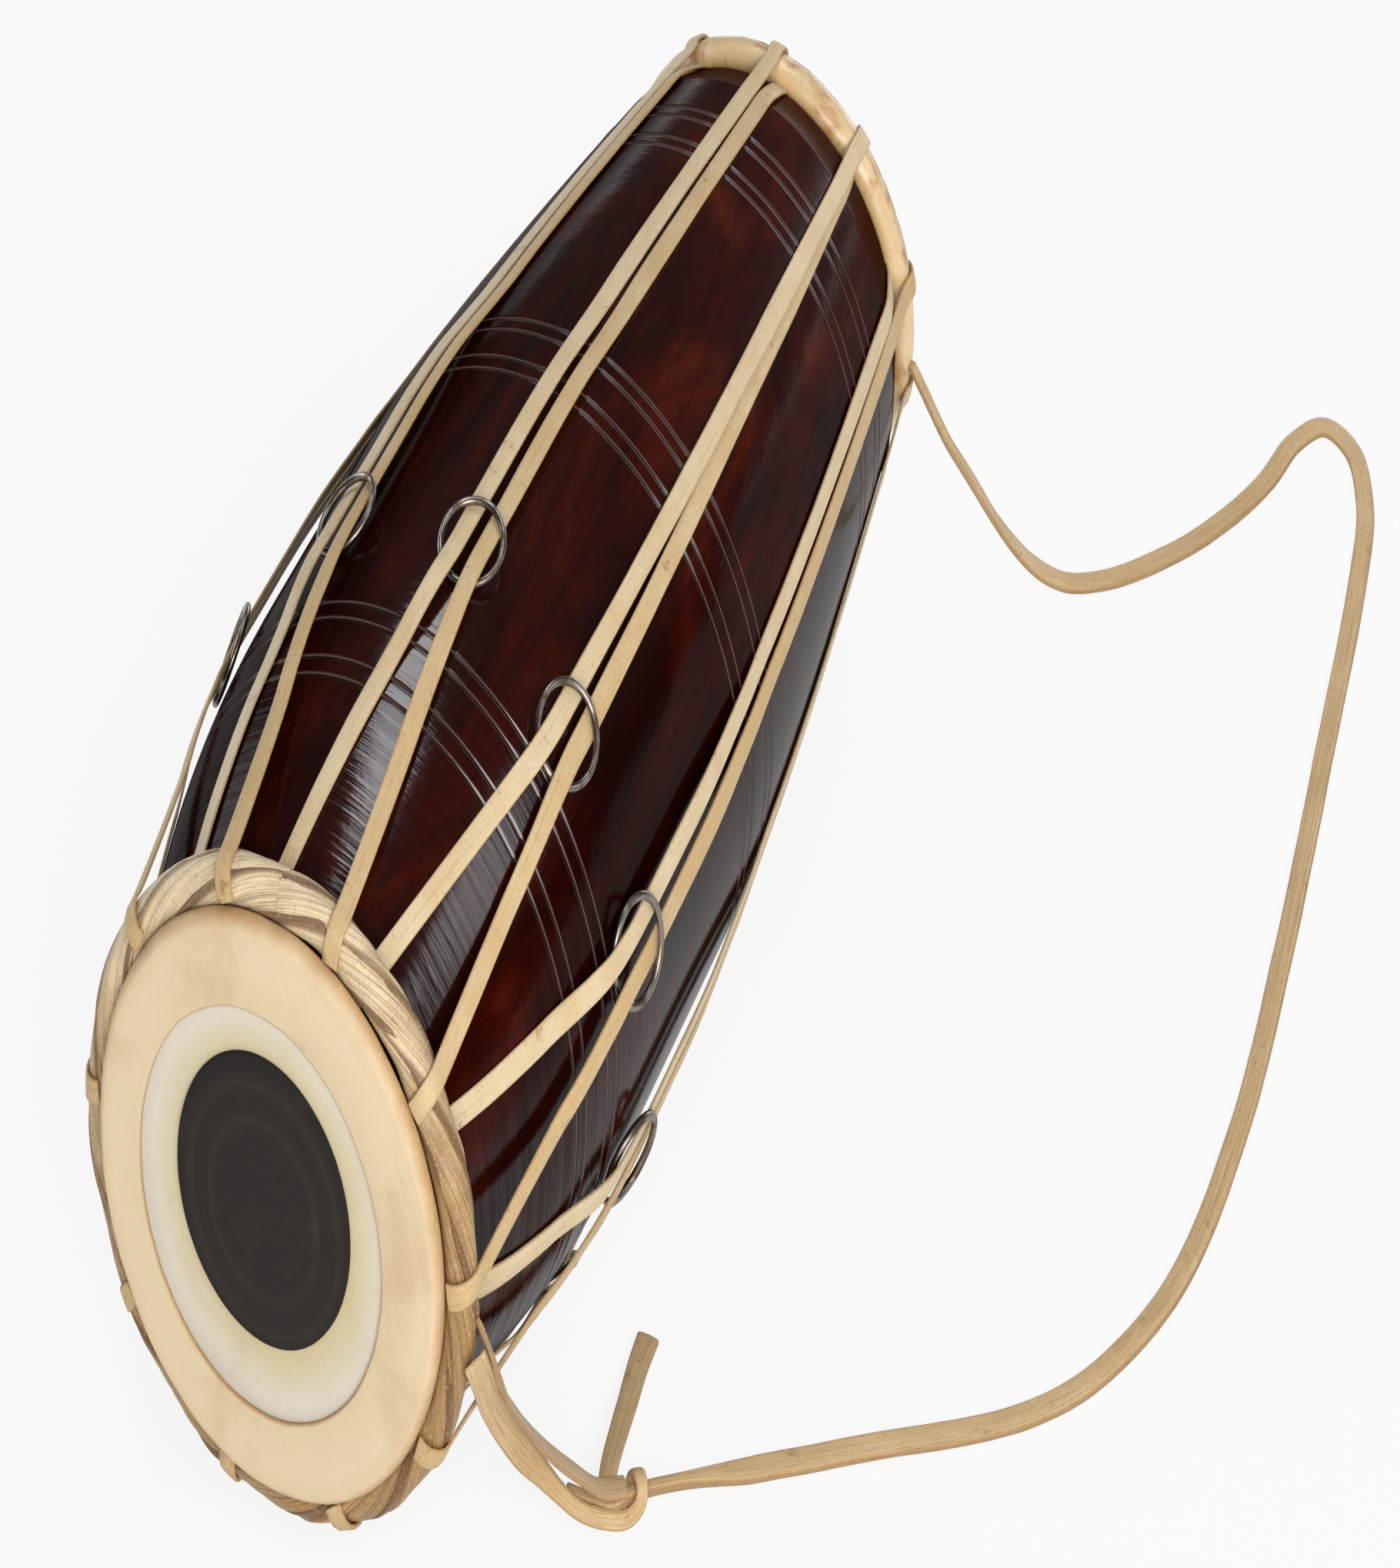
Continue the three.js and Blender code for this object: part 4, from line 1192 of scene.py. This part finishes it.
@dataclass
class Lacing:
    """Ten V-shaped thongs from the rear hoop to the braid, each with a leg over the braid and a leg under it."""

    sweep: BandSweep
    barrel: Barrel
    braid: Braid
    width: float = 7.4
    thick: float = 1.25
    count: int = 10
    bottom: int = 7
    crossed: int = 3
    swapped: int = 4
    pitch: float = 34.8
    fit: float = 0.35
    wrap_fit: float = 0.65
    hoop_side: float = 3.9
    ring_side: float = 5.6
    crossed_side: float = 0.5
    splay: float = 12.2
    lift: float = 4.5
    resting_lift: float = 5.4
    ease: float = 80.0
    dive: float = 35.0
    flat_ahead: float = 5.0
    run_front: float = 66.0
    under_braid: tuple[float, ...] = (45.0, 30.0, 20.0, 12.0, 6.0)
    hoop: tuple[float, float] = (68.5, 447.6)
    hoop_wrap_r: float = 8.4
    braid_wrap_r: float = 7.8
    over_hoop: tuple[float, float] = (4.0, 112.0)
    over_braid: tuple[float, float] = (80.0, 190.0)
    wrap_steps: int = 8
    hoop_dive: tuple[tuple[float, float], ...] = ((69.0, 442.3), (70.6, 439.9), (73.0, 436.2), (76.8, 428.5))
    hoop_dive_face: tuple[float, float] = (0.95, 0.31)
    ring_r: float = 13.6
    ring_travel: float = 40.0
    ring_on_top: float = 144.0
    ring_aside: float = 123.0
    ring_beneath: float = 318.0
    splay_start: float = 0.8
    station: float = 2.6
    uneven: float = 0.06
    tones: tuple[float, float] = (0.3, 0.72)
    tone_spread: float = 0.12

    def angle(self, k: int) -> float:
        """Angle of a V.

        Args:
            k: Its number from 0.

        Returns:
            Degrees from straight up toward +X.
        """
        if k <= self.bottom:
            return 180 - self.bottom * self.pitch + k * self.pitch
        return 180 + (k - self.bottom) * (360 - self.bottom * self.pitch) / (self.count - self.bottom)

    def ring_place(self, k: int) -> float:
        """Place of a V's ring along the axis.

        Args:
            k: The V's number from 0.

        Returns:
            The place.
        """
        if k == self.bottom:
            return self.ring_beneath
        return self.ring_on_top if abs(self.angle(k)) < self.pitch else self.ring_aside

    def flat_end(self, k: int) -> float:
        """Where along the axis the legs of a V leave the plane that they share."""
        return min(self.ring_place(k) - self.ring_r - self.flat_ahead, self.barrel.belly_front)

    def side(self, k: int, place: np.ndarray) -> np.ndarray:
        """Sideways place of a leg: closing toward the hoop behind the ring, swinging out in front of it.

        Args:
            k: The V's number from 0.
            place: Places along the axis.

        Returns:
            Distances from the V's middle.
        """
        start = self.ring_place(k) - self.splay_start * self.ring_r
        apart = self.braid.radius * math.radians(self.splay)
        at_hoop = self.crossed_side if k == self.crossed else self.hoop_side
        ahead = np.clip((start - place) / (start - self.braid.place), 0, 1)
        behind = np.clip((place - start) / (self.hoop[1] - start), 0, 1)
        splayed = self.ring_side + (apart - self.ring_side) * ahead
        return splayed + (at_hoop - splayed) * behind

    def height(self, k: int, place: np.ndarray, over: bool) -> np.ndarray:
        """Distance of a leg's middle from the axis: raised where the ring slides and down on the wood behind.

        Args:
            k: The V's number from 0.
            place: Places along the axis.
            over: Whether the leg goes over the braid.

        Returns:
            The distances.
        """
        end = self.ring_place(k) + self.ring_travel + self.ring_r
        rest = self.fit
        if k == self.crossed and not over:
            rest += self.thick + self.wrap_fit
        lift = self.resting_lift if k == self.bottom else self.lift
        rise = lift + (rest - lift) * smoothstep(place, end, end + self.ease)
        if not over:
            rise = self.fit + (rise - self.fit) * smoothstep(place, self.flat_end(k) - self.dive, self.flat_end(k))
        return self.barrel.radius(place) + rise + self.thick / 2

    def bent(self, k: int, over: bool, radius: np.ndarray, place: np.ndarray,
             face: tuple[Any, Any] = (1, 0)) -> tuple[np.ndarray, np.ndarray]:
        """Points and facings of a leg led along a course on its own side of the V; face is outward and along."""
        turn = self.angle(k) + np.degrees((1 if over else -1) * self.side(k, place) / radius)
        return around(radius, place, turn), around(*face, turn)

    def wrapped(self, k: int, over: bool, centre: tuple[float, float], radius: float,
                turns: tuple[float, float]) -> tuple[np.ndarray, np.ndarray]:
        """Points and facings of a leg turned about a centre between two angles; 0 points along the axis."""
        course = np.array(arc(centre, radius, *turns, self.wrap_steps)).T
        return self.bent(k, over, *course, tuple((course - np.array(centre)[:, None]) / radius))

    def leg(self, k: int, over: bool) -> Path:
        """Stations of one leg.

        Args:
            k: The V's number from 0.
            over: Whether it goes over the braid; at the hoop it mostly goes the other way round.

        Returns:
            The path from the hoop to the braid.
        """
        middle, sign = self.angle(k), 1 if over else -1
        if over == (k == self.swapped):
            parts = [self.wrapped(k, over, self.hoop, self.hoop_wrap_r, self.over_hoop)]
        else:
            parts = [self.bent(k, over, *np.array(self.hoop_dive).T, self.hoop_dive_face)]
        flat = np.concatenate([np.linspace(self.barrel.shoulder, self.barrel.belly_rear, 16),
                               np.linspace(self.barrel.belly_rear, self.flat_end(k), 10)[1:]])
        level = around(self.height(k, flat, over), flat, middle)
        level += sign * self.side(k, flat)[:, None] * around(1, 0, middle + 90)
        parts.append((level, np.repeat(around(1, 0, middle), len(flat), axis=0)))
        front = np.linspace(self.flat_end(k), self.run_front, 6)[1:]
        parts.append(self.bent(k, over, self.height(k, front, over), front))
        if over:
            braid = (self.braid.radius, self.braid.place)
            parts.append(self.wrapped(k, over, braid, self.braid_wrap_r, self.over_braid))
        else:
            low = np.array(self.under_braid)
            parts.append(self.bent(k, over, self.height(k, low, over), low))
        points, faces = (np.vstack([part[i] for part in parts]) for i in (0, 1))
        return Path.of(points, faces, self.width, self.thick).smoothed(self.station)

    def build(self) -> None:
        """Lay the legs and dress them."""
        # Painted shade along the thongs' edges.
        finish = Rawhide("lacing", tint(221, 204, 169), tint(200, 167, 114), tint(146, 102, 56), fibre=0.4, edge=0.45,
                         stains=0.6).material()
        chance = np.random.default_rng(7)
        for k in range(self.count):
            for over in (True, False):
                word = "over" if over else "under"
                path = self.leg(k, over)
                along = np.linspace(0, 1, len(path.points))
                path.half_width *= 1 + self.uneven * np.sin(along * 19 + k * 2.1 + over) * np.sin(along * 7 + k)
                tone = self.tones[over] + float(chance.uniform(-self.tone_spread, self.tone_spread))
                piece = self.sweep.sweep(f"thong_{k + 1}_{word}", path, Section.BAND, finish, seed=20.0 + 2 * k + over,
                                         tone=tone, waver=0.12, cup=0.12)
                settle(piece, "drum", "lacing", f"lacing_{k + 1}_{word}")


@dataclass
class TuningRings:
    """Ten steel wire rings, each tilted on its V with its rear arc over the thongs."""

    sweep: BandSweep
    lacing: Lacing
    wire_r: float = 1.3
    tilt: float = 14.0
    float_gap: float = 0.35

    def build(self) -> None:
        """Bend the rings and dress them."""
        finish = RingSteel().material()
        barrel, travel, ring_r = self.lacing.barrel, self.lacing.ring_travel, self.lacing.ring_r
        for k in range(self.lacing.count):
            place, angle = self.lacing.ring_place(k), self.lacing.angle(k)
            start = float(barrel.radius(place))
            slope = (float(barrel.radius(place + travel)) - start) / travel
            lean = math.radians(self.tilt) + math.atan((slope + float(barrel.radius(place + 1)) - start) / 2)
            along = around(math.sin(lean), math.cos(lean), angle)[0]
            across = around(1, 0, angle + 90)[0]
            height = self.float_gap + self.wire_r + ring_r * math.sin(math.radians(self.tilt))
            centre = around(start + height, place, angle)[0]
            turns = np.radians(np.arange(0, 360, 6.0))[:, None]
            out = np.cos(turns) * across + np.sin(turns) * along
            path = Path.of(centre + ring_r * out, out, 2 * self.wire_r, 2 * self.wire_r, closed=True)
            piece = self.sweep.sweep(f"ring_{k + 1}", path, Section.ROUND, finish, sides=14, seed=50.0 + k, waver=0.08)
            settle(piece, f"ring_{k + 1}", "ring_steel", f"tuning_ring_{k + 1}")


@dataclass(frozen=True)
class Twist:
    """How a strand's face turns from one way to another, between two shares of its length."""

    route: str
    node: str
    first: Xyz
    last: Xyz
    turned: tuple[float, float]


class Strand(Enum):
    """The strap's strands: the field that holds the route, the CAD node, and the way the face turns."""

    STRAP = Twist("strap", "carry_strap", (1.0, 0.0, 0.0), (0.0, 0.0, 1.0), (0.0, 0.12))
    LOWER = Twist("lower", "carry_loop_lower", (0.36, -0.7, 0.61), (0.496, -0.611, 0.616), (0.5, 0.95))
    UPPER = Twist("upper", "carry_loop_upper", (0.42, 0.71, 0.565), (0.45, 0.55, 0.7), (0.3, 1.0))
    TAIL = Twist("tail", "carry_tail", (0.0, 0.0, 1.0), (0.0, 0.0, 1.0), (0.0, 1.0))


@dataclass
class CarryingStrap:
    """The rawhide carrying strap with its knot, the two strands to the braid, and the cut tail."""

    sweep: BandSweep
    floor: float = DRUM.z / MM
    width: float = 8.4
    thick: float = 2.0
    thin: float = 1.6
    station: float = 1.5
    droop: float = 0.3
    rolled_width: float = 3.6
    rolled_thick: float = 3.0
    root_share: tuple[float, float] = (0.05, 0.1)
    knot_share: tuple[float, float] = (0.915, 0.955)
    tail_widths: tuple[float, float] = (6.8, 9.2)
    lower_widths: tuple[float, float] = (9.4, 4.8)
    lower_share: tuple[float, float] = (0.6, 0.92)
    knot_width: float = 4.8
    knot_face: float = 38.0
    knot_centre: Xyz = (119.0, 88.1, 10.0)
    knot_axis: Xyz = (-0.776, -0.63, 0.0)
    strap: tuple[Xyz, ...] = (
        (76, 446, 96.6), (79, 453, 84), (84, 465, 62), (91, 479, 40), (100, 490, 20), (112, 497, 7), (126, 502, 2),
        (142, 511, 2), (157, 526, 2), (177, 554, 2), (192, 587, 2), (198, 613, 2), (208, 627, 2), (224, 622, 2),
        (239, 599, 2), (249, 559, 2), (261, 487, 2), (274, 405, 2), (283, 327, 2), (281, 261, 2), (265, 217, 2),
        (243, 189, 2), (192, 148, 4), (157, 119, 6), (132, 99, 7.6), (119.3, 88.3, 7.6), (113.9, 82.2, 6.6),
        (105.5, 79.8, 6.6), (96.7, 76.9, 8))
    lower: tuple[Xyz, ...] = (
        (91.6, 10, 92.6), (90.4, 18, 81), (88, 28.7, 66), (86.7, 44.4, 46), (87.7, 57.2, 30), (90.4, 66.9, 18),
        (95.2, 71.3, 11.6), (101.4, 73.6, 7.8), (107, 75.8, 6), (112.2, 78, 5.2))
    upper: tuple[Xyz, ...] = (
        (91.6, 13, 101.3), (94.2, 19, 88), (95.4, 25.9, 74), (93.3, 43.9, 52), (94.1, 55.6, 38), (96.1, 65.2, 27),
        (102, 73.5, 18), (109.8, 79, 12.4), (117.5, 86.4, 10.4))
    tail: tuple[Xyz, ...] = (
        (112.6, 80.6, 10.4), (110.3, 84.4, 10.4), (107.1, 93.5, 9), (104.3, 105.5, 7), (101.5, 119, 5),
        (98.4, 133.2, 3.2), (96.9, 144.4, 2))
    turn: tuple[Xyz, ...] = (
        (107, 75.8, 6), (112.2, 78, 5.2), (116.6, 80.6, 4.4), (120.4, 82.8, 4.8), (123.2, 84.8, 6.6),
        (124.8, 86.4, 9.4), (124.2, 88, 11.9), (121.9, 89.9, 13), (119.2, 91.6, 11.4), (117.2, 92, 7.6),
        (117, 89.8, 4.2), (118, 87, 3))

    def laid(self, route: Sequence[Xyz], width: float, thick: float) -> Path:
        """Lay a band with its face up along a route whose heights are above the floor."""
        points = np.array(route, float) - (0, 0, self.floor)
        return Path.of(points, np.tile((0.0, 0.0, 1.0), (len(points), 1)), width, thick).smoothed(self.station)

    def strand(self, name: Strand) -> Path:
        """Lay one strand with the way its face turns and its section changes.

        Args:
            name: Which strand.

        Returns:
            The path.
        """
        twist, thick = name.value, self.thick if name is Strand.STRAP else self.thin
        path = self.laid(getattr(self, twist.route), self.width, thick)
        along = np.linspace(0, 1, len(path.points))
        share = smoothstep(along, *twist.turned)[:, None]
        path.faces = unit((1 - share) * np.array(twist.first) + share * np.array(twist.last))
        if name is Strand.STRAP:
            opened = smoothstep(along, *self.root_share) * (1 - smoothstep(along, *self.knot_share))
            path.half_width = (self.rolled_width + (self.width - self.rolled_width) * opened) / 2
            path.half_thick = (self.rolled_thick + (self.thick - self.rolled_thick) * opened) / 2
        if name is Strand.TAIL:
            path.half_width = np.interp(along, (0, 1), self.tail_widths) / 2
        if name is Strand.LOWER:
            first, last = self.lower_widths
            path.half_width = (first + (last - first) * smoothstep(along, *self.lower_share)) / 2
        return path

    def knot(self) -> Path:
        """Swing the lower strand up around the others and tuck it in beneath them.

        Returns:
            The path.
        """
        path = self.laid(self.turn, self.knot_width - 0.1, self.thin - 0.1)
        up = np.array((0.0, 0.0, 1.0))
        sideways = np.cross(up, unit(np.array([self.knot_axis]))[0])
        out = path.points - (np.array(self.knot_centre) - (0, 0, self.floor))
        aside = out @ sideways
        turn = np.degrees(np.arctan2(out[:, 2], aside))
        wound = np.where((turn < 0) & (aside < 0), turn + 360, turn)
        looks = np.radians(np.maximum(wound, self.knot_face))[:, None]
        path.faces = np.cos(looks) * sideways + np.sin(looks) * up
        return path

    def build(self) -> None:
        """Lay the strap and dress it."""
        # Painted shade along the strap's edges and in its creases.
        finish = Rawhide("strap", tint(224, 196, 150), tint(206, 170, 118), tint(150, 106, 60), edge=0.5, stains=0.45,
                         crease_shade=0.1).material()
        knot = self.sweep.sweep("strap_knot", self.knot(), Section.BAND, finish, sides=20, seed=71.0, waver=0.25,
                                cup=self.droop)
        settle(knot, "drum", "strap", "carry_knot")
        for i, name in enumerate(Strand):
            path = self.strand(name)
            piece = self.sweep.sweep(f"strap_{name.value.route}", path, Section.BAND, finish, sides=20, seed=60.0 + i,
                                     waver=0.3, cup=self.droop)
            settle(piece, "drum", "strap", name.value.node)
            line = DRUM.metres(path.points)
            path.length() * MM


# Camera, light and floor


COOL, WARM = (0.95, 0.96, 1.0), (1.0, 0.97, 0.93)


@dataclass(frozen=True)
class SoftBox:
    """A soft light: the way to it from the drum, its distance and size in metres, its power in watts, its colour."""

    name: str
    toward: Xyz
    distance: float
    size: tuple[float, float]
    power: float
    colour: Xyz

    def build(self) -> None:
        """Hang the light so that it looks at the drum's middle."""
        data = bpy.data.lights.new(self.name, "AREA")
        data.shape = "RECTANGLE"
        data.size, data.size_y = self.size
        data.energy = self.power
        data.color = self.colour
        light = bpy.data.objects.new(self.name, data)
        bpy.context.scene.collection.objects.link(light)
        way = Vector(self.toward).normalized()
        light.location = Vector((0.0, 0.0, 0.1)) + way * self.distance
        light.rotation_euler = way.to_track_quat("Z", "Y").to_euler()


@dataclass
class Studio:
    """The photograph's camera with its stretch, a white floor in a dim room, and soft lights."""

    place: Xyz = (1435.427, -2389.102, 2287.285)
    right: Xyz = (0.88761558, 0.46058505, 0.0)
    up: Xyz = (-0.2826602, 0.54472805, 0.78954073)
    back: Xyz = (0.36365066, -0.70080865, 0.61369816)
    stretch: float = 1.71734
    lens: float = 199.418
    floor_half: float = 8.0
    floor_glow: float = 0.86
    wall_top: tuple[float, float] = (0.075, 0.12)
    room_dim: float = 0.05
    lights: tuple[SoftBox, ...] = (
        SoftBox("top_box", (-0.18, 0.3, 0.94), 1.7, (0.5, 1.24), 8.5, COOL),
        SoftBox("right_box", (0.75, 0.15, 0.645), 1.9, (1.0, 0.8), 5.5, COOL),
        SoftBox("front_box", (0.56, -0.7, 0.54), 2.6, (2.2, 1.5), 66.0, WARM),
        SoftBox("rear_box", (0.05, 0.98, 0.16), 2.2, (1.4, 0.6), 10.0, COOL),
        SoftBox("left_box", (-0.95, 0.05, 0.25), 2.4, (1.6, 0.8), 16.0, COOL))

    def camera(self) -> None:
        """Make the camera; its rig leans the upright axis to stretch the picture as the photograph is."""
        data = bpy.data.cameras.new("camera")
        data.lens = self.lens
        data.sensor_width = 36.0
        data.clip_start, data.clip_end = 0.1, 50.0
        camera = bpy.data.objects.new("camera", data)
        rig = bpy.data.objects.new("camera_rig", None)
        for made in (camera, rig):
            bpy.context.scene.collection.objects.link(made)
        lean = math.sqrt(1 - 1 / self.stretch**2)
        back = np.array(self.back)
        columns = (np.array(self.right), np.array(self.up) / self.stretch + lean * back, back,
                   DRUM.metres(np.array(self.place)))
        matrix = Matrix.Identity(4)
        for k, column in enumerate(columns):
            matrix.col[k][:3] = column.tolist()
        camera.parent = rig
        camera.matrix_parent_inverse = matrix
        bpy.context.scene.camera = camera

    def floor(self) -> None:
        """Lay a plain white floor that keeps a soft shadow."""
        mesh = bpy.data.meshes.new("floor")
        half = self.floor_half
        mesh.from_pydata([(-half, -half, 0), (half, -half, 0), (half, half, 0), (-half, half, 0)], [], [(0, 1, 2, 3)])
        plane = bpy.data.objects.new("floor", mesh)
        bpy.context.scene.collection.objects.link(plane)
        p = Paint("floor_white")
        rays = p.add("ShaderNodeLightPath").outputs
        seen = p.math("MAXIMUM", rays["Is Camera Ray"],
                      p.math("MAXIMUM", rays["Is Glossy Ray"], rays["Is Transmission Ray"]))
        p.done(Base_Color=(0.82, 0.82, 0.82, 1.0), Roughness=1.0, Specular_IOR_Level=0.0)
        glow = p.add("ShaderNodeEmission", {"Color": (1.0, 1.0, 1.0, 1.0), "Strength": 1.0}).outputs[0]
        mixed = p.add("ShaderNodeMixShader", {0: p.math("MULTIPLY", seen, self.floor_glow), 1: p.shader.outputs[0],
                                             2: glow})
        out = next(n for n in p.tree.nodes if n.type == "OUTPUT_MATERIAL")
        p.plug(out.inputs[0], mixed.outputs[0])
        mesh.materials.append(p.material)

    def world(self) -> None:
        """A dim room with a low white wall, the same for every ray, so that the lamps do the lighting."""
        made = bpy.data.worlds.new("world")
        made.use_nodes = True
        bpy.context.scene.world = made
        g = Graph(made.node_tree)
        shader = next(n for n in made.node_tree.nodes if n.type == "BACKGROUND")
        way = g.add("ShaderNodeSeparateXYZ", {0: g.add("ShaderNodeTexCoord").outputs["Generated"]})
        g.plug(shader.inputs["Color"], (1.0, 1.0, 1.0, 1.0))
        g.plug(shader.inputs["Strength"], g.span(way.outputs["Z"], *self.wall_top, 1.0, self.room_dim))

    def build(self) -> None:
        """Set the stage."""
        self.camera()
        self.floor()
        self.world()
        for light in self.lights:
            light.build()
        bpy.context.scene.view_settings.view_transform = "Standard"


def main() -> None:
    """Build and dress the drum on its stage."""
    logging.basicConfig(level=logging.INFO, format="%(name)s %(message)s")
    Studio().build()
    sweep, turning = BandSweep(), Turning()
    CarryingStrap(sweep).build()
    barrel, braid = Barrel(turning), Braid(sweep)
    lacing = Lacing(sweep, barrel, braid)
    for part in (barrel, FrontHead(turning), RearHead(turning), braid, lacing, TuningRings(sweep, lacing)):
        part.build()


if __name__ == "__main__":
    main()
